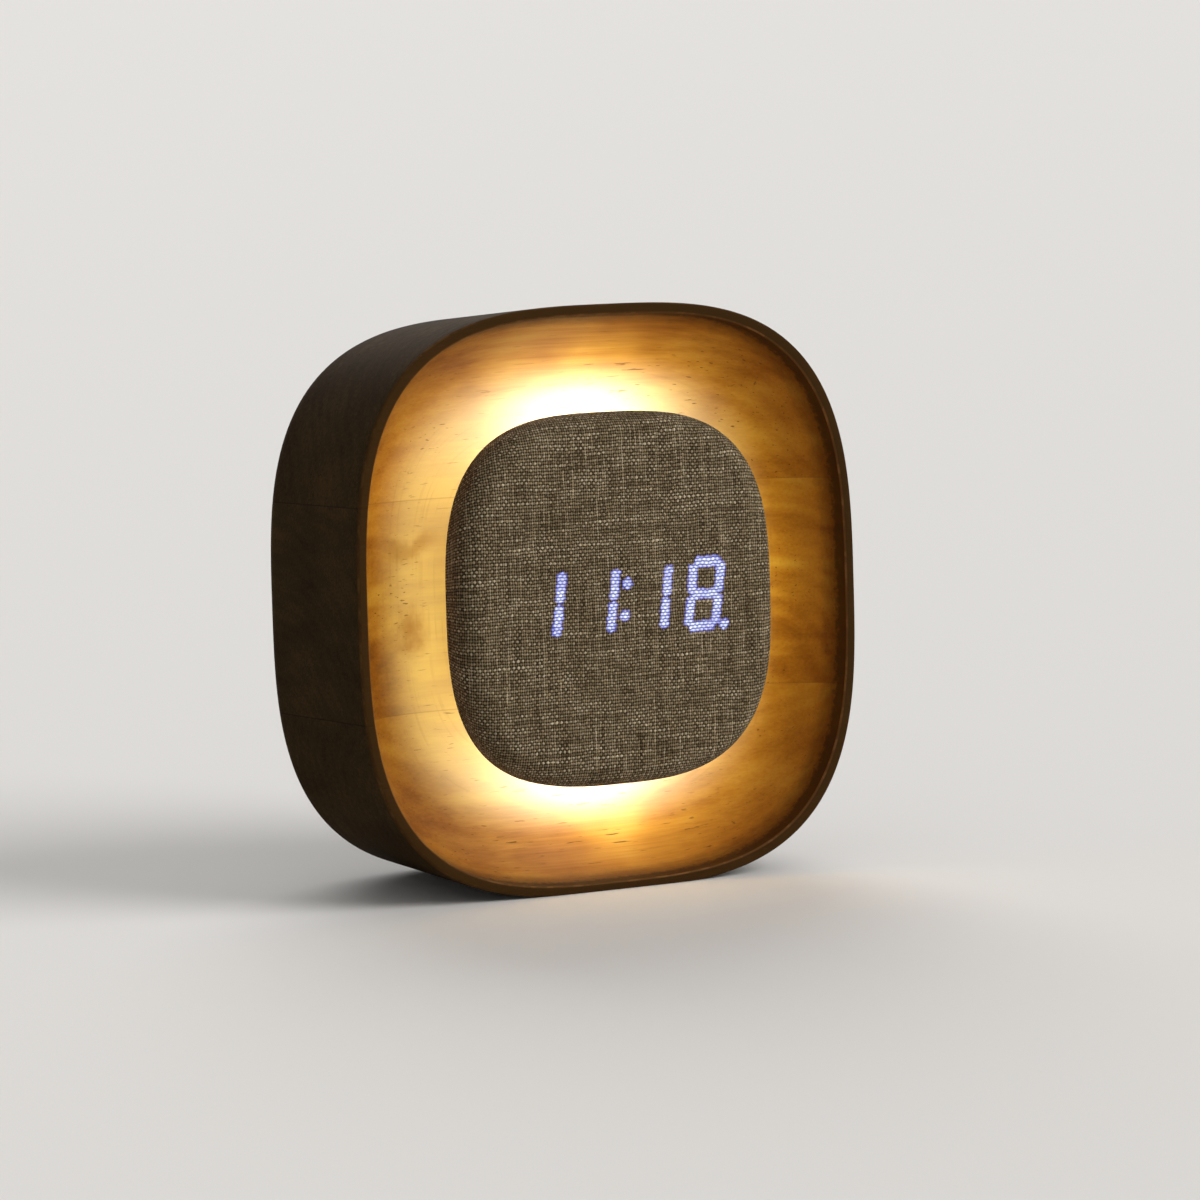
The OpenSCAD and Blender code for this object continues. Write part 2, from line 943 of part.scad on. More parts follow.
module cover_screws() {
  color("#6b6b6b")
    stand()
      at_corners(cover_screw_at, cover_screw_at)
        translate([0, cover_screw_seat, 0])
          screw(cover_screw_l);
}

wood_shell();
cloth_cover();
pod_front_shell();
display_bars();
display_block();
display_board();
lamp_board();
lamp_chips();
light_diffuser();
pod_base();
pod_screws();
pedestal_screws();
ribbon_cable();
display_header();
main_header();
battery();
battery_pad();
battery_lead();
main_board();
board_components();
board_screws();
switch_housings();
set_plunger();
minus_plunger();
plus_plunger();
light_plunger();
set_button();
minus_button();
plus_button();
light_button();
usb_shell();
usb_tongue();
sounder();
sounder_cone();
sounder_grille();
sounder_lead();
rear_cover();
cover_screws();
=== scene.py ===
"""Dresses the wooden alarm clock: wood, cloth, light and the small pieces at its back.

Sizes are millimetres in the clock's own frame (X right, Y from the rim plane to the back, Z up from
the middle of the dish) until STAND sets a piece on the table, in metres.
"""
import math

import bmesh
import bpy
import numpy as np
from mathutils import Matrix, Vector


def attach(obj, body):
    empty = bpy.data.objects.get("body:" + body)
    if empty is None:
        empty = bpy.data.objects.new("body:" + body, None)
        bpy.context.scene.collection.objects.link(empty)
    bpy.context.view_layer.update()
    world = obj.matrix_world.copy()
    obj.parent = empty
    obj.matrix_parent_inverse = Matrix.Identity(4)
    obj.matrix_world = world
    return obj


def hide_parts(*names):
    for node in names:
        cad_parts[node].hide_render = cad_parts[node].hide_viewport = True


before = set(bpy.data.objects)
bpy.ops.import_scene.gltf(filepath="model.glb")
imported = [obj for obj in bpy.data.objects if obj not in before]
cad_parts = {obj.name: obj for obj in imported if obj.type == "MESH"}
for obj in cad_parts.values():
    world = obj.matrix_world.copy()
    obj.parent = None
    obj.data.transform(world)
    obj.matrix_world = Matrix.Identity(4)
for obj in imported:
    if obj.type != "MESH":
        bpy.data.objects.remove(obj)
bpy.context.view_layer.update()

# Wooden shell
SHELL_HALF = 62.5
BACK_HALF = 60.0
SHELL_D = 47.0
SHELL_POWER = 3.1
RIM_LAND = 2.2
RIM_ROUND = 0.5
BACK_ROUND = 8.0
DISH_D = 18.0
DISH_FLOOR_HALF = 34.0
POCKET_D = 22.0
POCKET_HALF = 38.0
CABLE_HOLE_R = 6.0
FLOOR_RINGS = (CABLE_HOLE_R, 14.0, 24.0)
BASE_FLAT = 0.5
SHELL_AROUND = 320
LIP_HALF = SHELL_HALF - RIM_LAND
COVER_FRONT = 44.1
COVER_REBATE_HALF = 45.15
SEAM_Z = 22.5
RING_YEAR = 3.4
KNOT_X = -40.0
KNOT_Z = -4.5
CURL_Z = 12.6

# Pod
POD_HALF = 39.6
POD_PROUD = 4.8
POD_REAR = 3.6
POD_ROUND = 5.0
POD_CROWN = 0.5
POD_POWER = 3.0
CLOTH_T = 0.6
HEM_ROUND = 0.3
HEM_IN = 37.15
WARP_PITCH = 0.57
WEFT_PITCH = 0.685
FLAT_SPAN = 100.0
RING_OUTER = 37.0
RING_INNER = 29.5
RING_FRONT = 0.8
RING_BACK = POD_REAR - 0.2
RING_EDGE = 0.3
RING_AROUND = 192
PLATE_HALF = 31.15
PLATE_FRONT = 1.6
LAMP_COUNT = 24
LAMP_HALF = 34.0
LAMP_D = 3.5
LAMP_SIZE = 4.0
LAMP_SPREAD = 160.0
LAMP_TILT = math.radians(22)
LAMP_WARM = (0.51, 0.68, 0.44)
LAMP_WHITE = (0.72, 1.02, 1.82)
LAMP_WATTS = 0.0165
LAMP_PEAK = math.radians(82)
LOBE_POWER_RIGHT = 14
LOBE_POWER_LEFT = 8
LOBE_SHARE = 0.91
SIDE_SHARE = 0.075
SIDE_LEFT = 0.065
SIDE_RIGHT = 0.38
SIDE_RIGHT_POWER = 6
TOP_LOSS = 0.10

# Display
DIGIT_PITCH = 13.4
DIGIT_W = 7.0
DIGIT_H = 13.6
BAR_W = 1.4
DIGIT_SLANT = 0.14
BAR_SPREAD = 0.3

# Back
KEYS = ("set", "minus", "plus", "light")
BUTTON_PITCH = 14.0
BUTTON_Z = -6.0
BUTTON_R = 3.4
BUTTON_BACK = 47.4
BUTTON_FLANGE_R = 4.4
BUTTON_FLANGE_BACK = 43.95
BUTTON_FRONT = 42.95
USB_Z = -21.0
USB_BACK = 46.1
CONTACT_COUNT = 12
CONTACT_PITCH = 0.5
CONTACT_SIZE = (0.27, 2.4, 0.05)
CONTACT_IN = 2.5
CONTACT_OFF = 0.36

# Screws
SCREW_HEAD_R = 2.3
SCREW_HEAD_H = 1.2
SCREW_R = 1.2
COVER_SCREW_AT = 33.19
COVER_SCREW_SEAT = 45.3
COVER_SCREW_L = 9.0
POD_SCREW_AT = 19.0
POD_SCREW_L = 4.95
FLOOR_SCREW_AT = 8.273
FLOOR_SCREW_L = 12.0
BOARD_SCREW_X = 24.8
BOARD_SCREW_Z = 14.8
BOARD_SCREW_L = 5.6
BOARD_Z = -12.0
BOARD_FRONT = 37.05

# Edges: the turn between two faces from which an edge is shown sharp, or is eased
SHELL_CORNER = 0.7
RING_CORNER = 0.5
SMALL_CORNER = 0.6
FLAT_ANGLE = math.radians(1.0)
SMOOTH_ANGLE = math.radians(20)
EASE_ANGLE = math.radians(40)

# Camera: its turns, where the middle of the rim lies from its eye, and its lens in picture widths
CAMERA_YAW = math.radians(32.63)
CAMERA_PITCH = math.radians(4.26)
CAMERA_ROLL = math.radians(-1.70)
MIDDLE_FROM_EYE = (2.979, 1194.43, 0.301)
LENS_PER_WIDTH = 5631 / 1200
SENSOR_W = 36.0

# Studio
FLOOR_REACH = 30.0
WORLD_LIGHT = 0.24

# Place on the table
MM = 0.001
LEAN = math.atan((SHELL_HALF - BACK_HALF) / (SHELL_D - BACK_ROUND))
STAND_Z = SHELL_HALF * math.cos(LEAN) - BASE_FLAT
FRONT_REACH = (
    (-POD_PROUD + POD_CROWN + POD_ROUND) * math.cos(LEAN)
    - (POD_HALF - POD_ROUND) * math.sin(LEAN) - POD_ROUND
)
BACK_REACH = (
    (SHELL_D - BACK_ROUND) * math.cos(LEAN) + (BACK_HALF - BACK_ROUND) * math.sin(LEAN) + BACK_ROUND
)
STAND_AT = Vector((0, -(FRONT_REACH + BACK_REACH) / 2, STAND_Z)) * MM
STAND = Matrix.Translation(STAND_AT) @ Matrix.Rotation(-LEAN, 4, "X") @ Matrix.Scale(MM, 4)


class Sock:
    """A socket of a node tree, so that maths on it reads as a plain expression."""

    def __init__(self, tree, socket):
        self.tree = tree
        self.socket = socket

    def other(self, out):
        """Another output of the same node."""
        return Sock(self.tree, self.socket.node.outputs[out])

    def maths(self, operation, *values):
        return self.tree.node("ShaderNodeMath", {"operation": operation}, dict(enumerate(values)))

    def __add__(self, value):
        return self.maths("ADD", self, value)

    __radd__ = __add__

    def __sub__(self, value):
        return self.maths("SUBTRACT", self, value)

    def __rsub__(self, value):
        return self.maths("SUBTRACT", value, self)

    def __mul__(self, value):
        return self.maths("MULTIPLY", self, value)

    __rmul__ = __mul__

    def __truediv__(self, value):
        return self.maths("DIVIDE", self, value)

    def __rtruediv__(self, value):
        return self.maths("DIVIDE", value, self)

    def __pow__(self, value):
        return self.maths("POWER", self, value)

    def __mod__(self, value):
        return self.maths("FLOORED_MODULO", self, value)

    def __neg__(self):
        return self.maths("MULTIPLY", self, -1.0)

    def __abs__(self):
        return self.maths("ABSOLUTE", self)

    def floor(self):
        return self.maths("FLOOR", self)

    def sin(self):
        return self.maths("SINE", self)

    def cos(self):
        return self.maths("COSINE", self)

    def root(self):
        return self.maths("SQRT", self)

    def least(self, value):
        return self.maths("MINIMUM", self, value)

    def most(self, value):
        return self.maths("MAXIMUM", self, value)

    def above(self, value):
        return self.maths("GREATER_THAN", self, value)


class Tree:
    """A node tree and the one method that adds any node to it."""

    def __init__(self, node_tree):
        self.tree = node_tree

    def node(self, kind, settings=None, values=None, out=0):
        made = self.tree.nodes.new(kind)
        for key, value in (settings or {}).items():
            if key == "stops":
                stops = made.color_ramp.elements
                while len(stops) < len(value):
                    stops.new(1.0)
                for stop, (place, tint) in zip(stops, value):
                    stop.position = place
                    stop.color = tint
            else:
                setattr(made, key, value)
        for key, value in (values or {}).items():
            if isinstance(value, Sock):
                self.tree.links.new(value.socket, made.inputs[key])
            else:
                made.inputs[key].default_value = value
        return Sock(self, made.outputs[out]) if made.outputs else None

    def vector(self, operation, *values):
        return self.node("ShaderNodeVectorMath", {"operation": operation}, dict(enumerate(values)))

    def split(self, vector):
        x = self.node("ShaderNodeSeparateXYZ", None, {0: vector})
        return x, x.other(1), x.other(2)

    def join(self, x, y, z):
        return self.node("ShaderNodeCombineXYZ", None, {0: x, 1: y, 2: z})

    def ramp(self, value, low, high, to_low=0.0, to_high=1.0):
        """Runs smoothly from to_low to to_high while value goes from low to high."""
        return self.node(
            "ShaderNodeMapRange", {"interpolation_type": "SMOOTHSTEP"},
            {0: value, 1: low, 2: high, 3: to_low, 4: to_high},
        )


def colour(red, green, blue):
    """A colour as seen on a screen, 0 to 255, as linear light."""
    def linear(c):
        c /= 255
        return c / 12.92 if c <= 0.04045 else ((c + 0.055) / 1.055) ** 2.4
    return (linear(red), linear(green), linear(blue), 1.0)


def shade(tint, times, plus=0.0):
    """A darker or paler colour of the same kind."""
    return (*(min(1.0, c * times + plus) for c in tint[:3]), 1.0)


def far(x, z):
    """How far a point lies from the middle."""
    return (x * x + z * z).root()


class Finish(Tree):
    """One material, with the parts that most finishes share."""

    def __init__(self, name):
        self.material = bpy.data.materials.new(name)
        self.material.use_nodes = True
        super().__init__(self.material.node_tree)
        self.tree.nodes.clear()

    def place(self):
        """Where a point is in the clock's own frame, in millimetres."""
        coords = self.node("ShaderNodeTexCoord", None, None, "Object")
        return self.node("ShaderNodeMapping", {"vector_type": "TEXTURE"}, {
            "Vector": coords, "Location": STAND_AT, "Rotation": (-LEAN, 0, 0),
            "Scale": (MM, MM, MM),
        })

    def noise(self, vector, scale, detail=2.0, rough=0.5):
        """Noise from 0 to 1; scale is features per millimetre, one number or one for each axis."""
        if isinstance(scale, tuple):
            vector = self.vector("MULTIPLY", vector, scale)
            scale = 1.0
        return self.node("ShaderNodeTexNoise", None, {
            "Vector": vector, "Scale": scale, "Detail": detail, "Roughness": rough,
        })

    def mix(self, share, first, second):
        """A colour that goes from first to second as share goes from 0 to 1."""
        return self.node(
            "ShaderNodeMix", {"data_type": "RGBA"}, {0: share, 6: first, 7: second}, 2,
        )

    def bump(self, height, depth_mm, strength=1.0):
        return self.node("ShaderNodeBump", None, {
            "Height": height, "Distance": depth_mm * MM, "Strength": strength,
        })

    def surface(self, values):
        shader = self.node("ShaderNodeBsdfPrincipled", None, values)
        self.node("ShaderNodeOutputMaterial", None, {"Surface": shader})
        return self.material


# Finishes

def half_width(x, z):
    """Half width of the rounded square, of the shell's squareness, that runs through a point."""
    return (abs(x) ** SHELL_POWER + abs(z) ** SHELL_POWER) ** (1.0 / SHELL_POWER)


def wood_figure(f, point):
    """Boards, seams, growth rings, fibres, flecks and soft figure of the three glued boards."""
    x, y, z = f.split(point)
    board = z.above(SEAM_Z) - (1.0 - z.above(-SEAM_Z))
    seam = f.ramp(abs(abs(z) - SEAM_Z), 0.05, 0.20, 1.0, 0.0)
    own = f.join(x + board * 71.0, y + board * 37.0, z + board * 53.0)
    sway = f.noise(own, (0.009, 0.028, 0.028), 2.0)
    ripple = f.noise(own, (0.02, 0.10, 0.10), 2.0)
    heart_y = y - (46.0 + board * 64.0)
    heart_z = z - (board * 18.0 - 44.0)
    ring = far(heart_y, heart_z) + sway * 15.0 + ripple * 2.6
    year = ring / RING_YEAR
    late = (year * (2 * math.pi)).cos() * 0.5 + 0.5
    late = late * f.noise(own, (0.01, 0.06, 0.06), 2.0)
    fibre = f.noise(own, (0.035, 1.7, 1.7), 4.0, 0.62)
    cluster = f.ramp(f.noise(own, (0.02, 0.05, 0.05), 2.0), 0.40, 0.62)
    fleck = f.ramp(f.noise(own, (0.15, 2.0, 2.0), 2.0), 0.655, 0.72) * (0.35 + cluster * 0.65)
    figure = f.noise(own, (0.05, 0.06, 0.075), 2.0, 0.45)
    band = f.noise(own, (0.02, 0.05, 0.23), 2.0, 0.5) - 0.5
    return board, seam, late, fibre, fleck, figure + band * (0.75 - abs(board) * 0.45)


def bare_wood():
    """Clear-lacquered natural wood of the dish, with the stain's ragged edge along the lip, painted
    glow near the pod and painted shade towards the lip.
    """
    f = Finish("bare_wood")
    point = f.place()
    x, _, z = f.split(point)
    board, seam, late, fibre, fleck, figure = wood_figure(f, point)
    tone = figure * (1.15 - abs(board) * 0.2) + late * 0.16 + fibre * 0.42 - 0.36
    half = half_width(x, z)
    # Near the pod the wood turns paler: painted glow from the lamps behind the pod.
    pale = f.ramp(half, LIP_HALF - 8.0, DISH_FLOOR_HALF + 6.0)
    tone = tone - board * 0.02 + abs(board) * 0.10 - pale * 0.20
    base = f.node("ShaderNodeValToRGB", {"stops": [
        (0.10, colour(190, 132, 42)), (0.40, colour(169, 106, 26)),
        (0.66, colour(141, 80, 14)), (0.95, colour(102, 52, 7)),
    ]}, {0: tone})
    # Darker towards the lip: painted shade on the wall that the lamps' light hardly reaches.
    painted_lip_shade = f.ramp(half, LIP_HALF - 12.0, LIP_HALF)
    # Painted glow: the wood near the pod is washed towards a creamy pale.
    base = f.mix(pale * 0.33, base, colour(228, 201, 154))
    base = f.mix(painted_lip_shade * 0.42, base, colour(96, 48, 7))
    drift = f.noise(point, 0.16, 3.0, 0.6) - 0.5
    knot = f.ramp(far(x - KNOT_X, z - KNOT_Z) + drift * 9.0, 7.0, 0.5)
    curl = abs(z - CURL_Z + (x * 0.42).sin() * 0.9 + drift * 6.0)
    curl = f.ramp(curl, 3.0, 0.2) * f.ramp(abs(x - KNOT_X), 10.0, 3.0)
    marks = f.ramp(f.noise(f.join(half * 1.3, x * 0.03, z * 0.03), 1.0, 2.0, 0.6), 0.52, 0.70)
    marks = marks * f.ramp(half, LIP_HALF - 6.0, LIP_HALF - 12.0) * f.ramp(drift, -0.12, 0.12)
    base = f.mix(knot * 0.65 + curl * 0.46, base, colour(132, 69, 10))
    base = f.mix(marks * 0.13, base, colour(116, 62, 12))
    base = f.mix(fleck * 0.72, base, colour(62, 35, 14))
    base = f.mix(seam * 0.25, base, colour(90, 56, 24))
    ragged = f.noise(point, (0.4, 0.8, 0.4), 3.0, 0.6) - 0.5
    bleed = f.ramp(half + ragged * 1.2, LIP_HALF - 2.6, LIP_HALF - 0.2)
    base = f.mix(bleed * 0.65, base, colour(48, 26, 8))
    blotch = f.noise(point, 0.8, 4.0, 0.6) - 0.5
    spill = f.ramp(half + blotch * 1.1, LIP_HALF - 0.6, LIP_HALF - 0.2)
    base = f.mix(spill * 0.7, base, colour(38, 25, 12))
    rough = 0.50 + fibre * 0.16 + fleck * 0.2
    height = fibre * 0.35 - fleck * 0.9 - seam * 0.5 - marks * 0.4
    return f.surface({
        "Base Color": base, "Roughness": rough, "Normal": f.bump(height, 0.05, 0.6),
        "Specular IOR Level": 0.05,
    })


def stained_wood():
    """Dark stain on the outside and the rim, worn a little along the edges, with painted glow on
    the rim land and the lip's inner edge.
    """
    f = Finish("stained_wood")
    point = f.place()
    x, y, z = f.split(point)
    _, seam, late, fibre, fleck, figure = wood_figure(f, point)
    tone = figure * 0.58 + late * 0.12 + fibre * 0.64 - 0.21
    base = f.node("ShaderNodeValToRGB", {"stops": [
        (0.12, colour(69, 50, 27)), (0.42, colour(50, 37, 19)),
        (0.68, colour(38, 26, 13)), (0.95, colour(24, 16, 8)),
    ]}, {0: tone})
    base = f.mix(fleck * 0.75, base, colour(14, 9, 6))
    base = f.mix(seam * 0.5, base, colour(18, 12, 8))
    half = half_width(x, z)
    outer_edge = f.ramp(half, SHELL_HALF - 0.42, SHELL_HALF - 0.12) * f.ramp(y, 0.9, 0.1)
    # The lip's inner edge is lighter: partly wear, partly painted glow from the dish's light.
    inner_edge = f.ramp(half, LIP_HALF + 0.42, LIP_HALF + 0.10) * f.ramp(y, 2.0, 0.6)
    rubbed = f.ramp(f.noise(point, 0.22, 4.0, 0.65), 0.47, 0.62)
    scuffed = f.ramp(f.noise(point, (0.5, 1.4, 1.4), 3.0), 0.60, 0.70)
    # The rim land in a warmer, lighter brown: painted glow from the dish's light.
    rim = f.ramp(y, 0.9, 0.2)
    base = f.mix(rim * 0.7, base, colour(66, 43, 19))
    base = f.mix(outer_edge * (rubbed * 0.3 + 0.05), base, colour(112, 80, 46))
    # An even painted glow along the inner lip, with patchy wear over it.
    base = f.mix(inner_edge * (0.4 + rubbed * 0.4), base, colour(128, 90, 54))
    base = f.mix(scuffed * 0.07, base, colour(104, 80, 58))
    rough = 0.56 + fibre * 0.18 + fleck * 0.14 - outer_edge * 0.08
    height = fibre * 0.45 - fleck * 1.0 - seam * 0.7
    return f.surface({
        "Base Color": base, "Roughness": rough, "Normal": f.bump(height, 0.06, 0.7),
        "Specular IOR Level": 0.01,
    })


def lit_bars(x, z):
    """How far a point of the pod's face lies outside the lit bars of 11:18 and its dot."""
    lean_x = x - z * DIGIT_SLANT
    up = abs(z)
    stroke = BAR_W / 2
    side = DIGIT_W / 2
    row = DIGIT_H / 2
    last = 1.5 * DIGIT_PITCH
    tip = DIGIT_H / 4 - 0.45
    folded = (lean_x - side + 2 * DIGIT_PITCH) % DIGIT_PITCH
    right = abs(folded - DIGIT_PITCH / 2).most(abs(lean_x) - last - side)
    left = abs(lean_x - (last - side))
    beside = right.least(left)
    standing = (beside - stroke).most(beside * 0.5 + abs(up - DIGIT_H / 4) - tip)
    over = abs(up - row).least(up)
    lying = (over - stroke).most(over * 0.5 + abs(lean_x - last) - (side - 0.40))
    spot = BAR_W * 0.55
    colon = far(lean_x, up - DIGIT_H / 4) - spot
    dot = far(lean_x - (last + side + 1.6 * BAR_W), z + row) - spot
    return standing.least(lying).least(colon).least(dot)


def melange_cloth():
    """Plain weave of mixed light and dark yarns, with the digits shining through between them."""
    f = Finish("melange_cloth")
    uv = f.node("ShaderNodeUVMap", {"uv_map": "flat"})
    middle = -FLAT_SPAN / 2
    flat = f.vector("MULTIPLY_ADD", uv, (FLAT_SPAN, FLAT_SPAN, 0), (middle, middle, 0))
    sway, jitter = (
        f.node("ShaderNodeTexNoise", None, {"Vector": flat, "Scale": s, "Detail": d}, "Color")
        for s, d in ((0.12, 2.0), (1.2, 1.0))
    )
    bent = f.vector("MULTIPLY_ADD", sway, (0.8, 0.8, 0), flat)
    bent = f.vector("MULTIPLY_ADD", jitter, (0.42, 0.36, 0), bent)
    u, v, _ = f.split(bent)
    warp = u / WARP_PITCH
    weft = v / WEFT_PITCH
    warp_no = warp.floor()
    weft_no = weft.floor()
    warp_sign = 1.0 - 2.0 * (warp_no % 2.0)
    weft_sign = 1.0 - 2.0 * (weft_no % 2.0)
    warp_round = ((warp - warp_no - 0.5) * 2.9).cos()
    weft_round = ((weft - weft_no - 0.5) * 2.9).cos()
    warp_tone = f.noise(f.join(warp_no * 3.7, v * 0.05, 4.0), 1.0, 4.0, 0.62)
    weft_tone = f.noise(f.join(u * 0.09, weft_no * 3.7, 9.0), 1.0, 4.0, 0.62)
    warp_slub = f.ramp(warp_tone, 0.58, 0.72)
    weft_slub = f.ramp(weft_tone, 0.58, 0.72)
    warp_top = warp_round * (0.92 + warp_slub * 0.3) + warp_sign * (weft * math.pi).sin() * 0.55
    weft_top = weft_round * (1.0 + weft_slub * 0.3) - weft_sign * (warp * math.pi).sin() * 0.55
    height = warp_top.most(weft_top)
    warp_over = f.ramp(warp_top - weft_top, -0.12, 0.12)
    knot = f.node("ShaderNodeTexWhiteNoise", {"noise_dimensions": "2D"}, {
        "Vector": f.join(warp_no, weft_no, 0.0),
    })
    tone = (weft_tone + (warp_tone - weft_tone) * warp_over) * 1.3 - 0.15 + (knot - 0.5) * 0.18
    strand = f.noise(f.join(u * 1.1, v * 7.0, 2.0), 1.0, 2.0)
    strand_up = f.noise(f.join(u * 7.0, v * 1.1, 6.0), 1.0, 2.0)
    fluff = strand + (strand_up - strand) * warp_over
    yarn = f.node("ShaderNodeValToRGB", {"stops": [
        (0.10, colour(56, 43, 24)), (0.36, colour(104, 88, 62)),
        (0.58, colour(152, 134, 104)), (0.86, colour(206, 190, 160)),
    ]}, {0: tone + fluff * 0.30 - 0.09 - warp_over * 0.12})
    # Between the threads the cloth is darkened: painted shade in the hollows of the weave.
    gap_shade = f.ramp(height, 1.36, 0.64)
    base = f.mix(gap_shade * 0.95, yarn, colour(22, 15, 7))
    eye = f.vector("ADD", flat, (-0.35, -0.35, 0))
    eye = f.vector("MULTIPLY_ADD", jitter, (0.7, 0.7, 0), eye)
    eye_x, eye_z, _ = f.split(eye)
    outside = lit_bars(eye_x, eye_z) - BAR_SPREAD + (knot - 0.5) * 0.35
    core = f.ramp(outside, 0.30, -0.40) * f.ramp(f.noise(flat, 0.16, 2.0), 0.30, 0.62, 0.65, 1.0)
    fringe = f.ramp(outside, 0.45, -0.20)
    dots = f.ramp(warp_top - weft_top, 0.05, 0.70)
    leak = 1.0 - dots * 0.32 - f.ramp(weft_round, 0.82, 0.25) * 0.62
    glow = f.mix(core * leak.most(0.0), colour(66, 86, 244), colour(212, 226, 255))
    lit = f.mix(fringe * leak.most(0.06), colour(0, 0, 0), glow)
    return f.surface({
        "Base Color": base, "Roughness": 0.93 - gap_shade * 0.05, "Normal": f.bump(height, 0.16, 0.9),
        "Specular IOR Level": 0.06, "Emission Color": lit, "Emission Strength": 1.1,
        "Sheen Weight": 0.04, "Sheen Roughness": 0.5,
    })


def moulded_plastic(name, tint, rough, grain=3.2, depth=0.03):
    """Moulded plastic with a fine spark-eroded texture and slight shading of its colour."""
    f = Finish(name)
    point = f.place()
    texture = f.noise(point, grain, 3.0, 0.6)
    cloud = f.noise(point, 0.06, 3.0)
    scuff = f.ramp(f.noise(point, (0.30, 0.30, 2.4), 4.0, 0.65), 0.58, 0.74)
    pale = shade(tint, 1.5, 0.005)
    base = f.mix(cloud * 0.5 + texture * 0.5, shade(tint, 0.55), pale)
    base = f.mix(scuff * 0.35, base, pale)
    return f.surface({
        "Base Color": base, "Roughness": rough - 0.08 + texture * 0.18 - scuff * 0.10,
        "Normal": f.bump(texture, depth, 0.9),
    })


def turned_metal(name, tint, rough):
    """Plated metal with fine scratches and a little tarnish."""
    f = Finish(name)
    point = f.place()
    scratch = f.noise(point, (6.0, 6.0, 0.7), 3.0, 0.6)
    tarnish = f.ramp(f.noise(point, 0.5, 3.0), 0.45, 0.72)
    return f.surface({
        "Base Color": f.mix(tarnish * 0.5, tint, shade(tint, 0.6)), "Metallic": 1.0,
        "Roughness": rough + scratch * 0.16 + tarnish * 0.15, "Normal": f.bump(scratch, 0.012, 0.6),
    })


def light_panel():
    """Opal ring, brightest over each warm lamp behind it."""
    f = Finish("opal_light")
    point = f.place()
    x, _, z = f.split(point)
    turn = f.node("ShaderNodeMath", {"operation": "ARCTAN2"}, {0: z, 1: x})
    lamp = (turn * float(LAMP_COUNT)).cos() * -0.5 + 0.5
    speck = f.noise(point, 1.5, 2.0)
    warm = f.mix(lamp * 0.7 + speck * 0.3, colour(255, 206, 138), colour(255, 222, 164))
    return f.surface({
        "Base Color": f.mix(speck, colour(244, 236, 216), colour(250, 245, 230)), "Roughness": 0.45,
        "Emission Color": warm, "Emission Strength": 1.8,
    })


def circuit_board(name, tint, copper):
    """Solder mask over copper tracks, with plated holes here and there."""
    f = Finish(name)
    point = f.place()
    tracks = f.node("ShaderNodeTexVoronoi", {"distance": "MANHATTAN", "feature": "F1"}, {
        "Vector": point, "Scale": 0.33,
    })
    stripes = f.ramp(abs((tracks * 6.0) % 1.0 - 0.5), 0.20, 0.28)
    cells = f.node("ShaderNodeTexVoronoi", None, {"Vector": point, "Scale": 0.21})
    holes = f.ramp(cells, 0.10, 0.07)
    base = f.mix(stripes * 0.6, tint, copper)
    base = f.mix(holes, base, colour(196, 178, 120))
    return f.surface({
        "Base Color": base, "Roughness": 0.32 + stripes * 0.1, "Normal": f.bump(stripes, 0.03, 0.7),
    })


def wrapped_film(name, tint, pale):
    """Shrunk film or printed card: soft streaks and a slight sheen."""
    f = Finish(name)
    point = f.place()
    crease = f.noise(point, (0.25, 1.4, 1.4), 3.0, 0.6)
    cloud = f.noise(point, 0.12, 2.0)
    return f.surface({
        "Base Color": f.mix(crease * 0.5 + cloud * 0.5, tint, pale),
        "Roughness": 0.30 + crease * 0.2, "Normal": f.bump(crease, 0.06, 0.6),
    })


def open_foam(name, tint, pale):
    """Open-cell foam."""
    f = Finish(name)
    point = f.place()
    cells = f.node("ShaderNodeTexVoronoi", None, {"Vector": point, "Scale": 1.7})
    return f.surface({
        "Base Color": f.mix(cells, tint, pale), "Roughness": 0.95,
        "Normal": f.bump(cells, 0.25, 0.9),
    })


def striped_cable(name, tint, stripe, pitch):
    """Flat cable of parallel wires that lie side by side along X."""
    f = Finish(name)
    x, _, _ = f.split(f.place())
    wire = (x * (2 * math.pi / pitch)).cos() * 0.5 + 0.5
    first = f.ramp(x % (pitch * 6.0), pitch * 5.0, pitch * 5.2)
    return f.surface({
        "Base Color": f.mix(first, tint, stripe), "Roughness": 0.5 - wire * 0.12,
        "Normal": f.bump(wire, 0.2, 0.8),
    })


def glowing_chip(name, tint, strength):
    """A lamp or display bar: clear resin over a bright middle."""
    f = Finish(name)
    glow = f.mix(f.noise(f.place(), 1.2, 2.0), shade(tint, 0.8), tint)
    return f.surface({
        "Base Color": glow, "Roughness": 0.25, "Emission Color": glow,
        "Emission Strength": strength,
    })


# Meshes

def add_object(name, data):
    """A new object in the scene, with the given mesh, lamp or camera."""
    added = bpy.data.objects.new(name, data)
    bpy.context.scene.collection.objects.link(added)
    return added


def hand_over(piece, body, nodes=()):
    """Gives a finished piece its body, and hides the CAD nodes that it stands for."""
    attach(piece, body)
    if nodes:
        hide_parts(*nodes)


def baked(piece, name):
    """The piece with its modifiers worked into a plain mesh."""
    depsgraph = bpy.context.evaluated_depsgraph_get()
    mesh = bpy.data.meshes.new_from_object(piece.evaluated_get(depsgraph))
    mesh.name = name
    source = piece.data
    bpy.data.objects.remove(piece)
    bpy.data.meshes.remove(source)
    return add_object(name, mesh)


def angles(steps, first=0.0, last=90.0):
    """Evenly spaced angles, given in degrees, in radians."""
    return [math.radians(first + (last - first) * i / steps) for i in range(steps + 1)]


def rounded(half, depth, radius, turns):
    """A rounded back edge: points from its side, at half, round to its back, at depth."""
    return [
        (half - radius * (1 - math.cos(a)), depth - radius * (1 - math.sin(a))) for a in turns
    ]


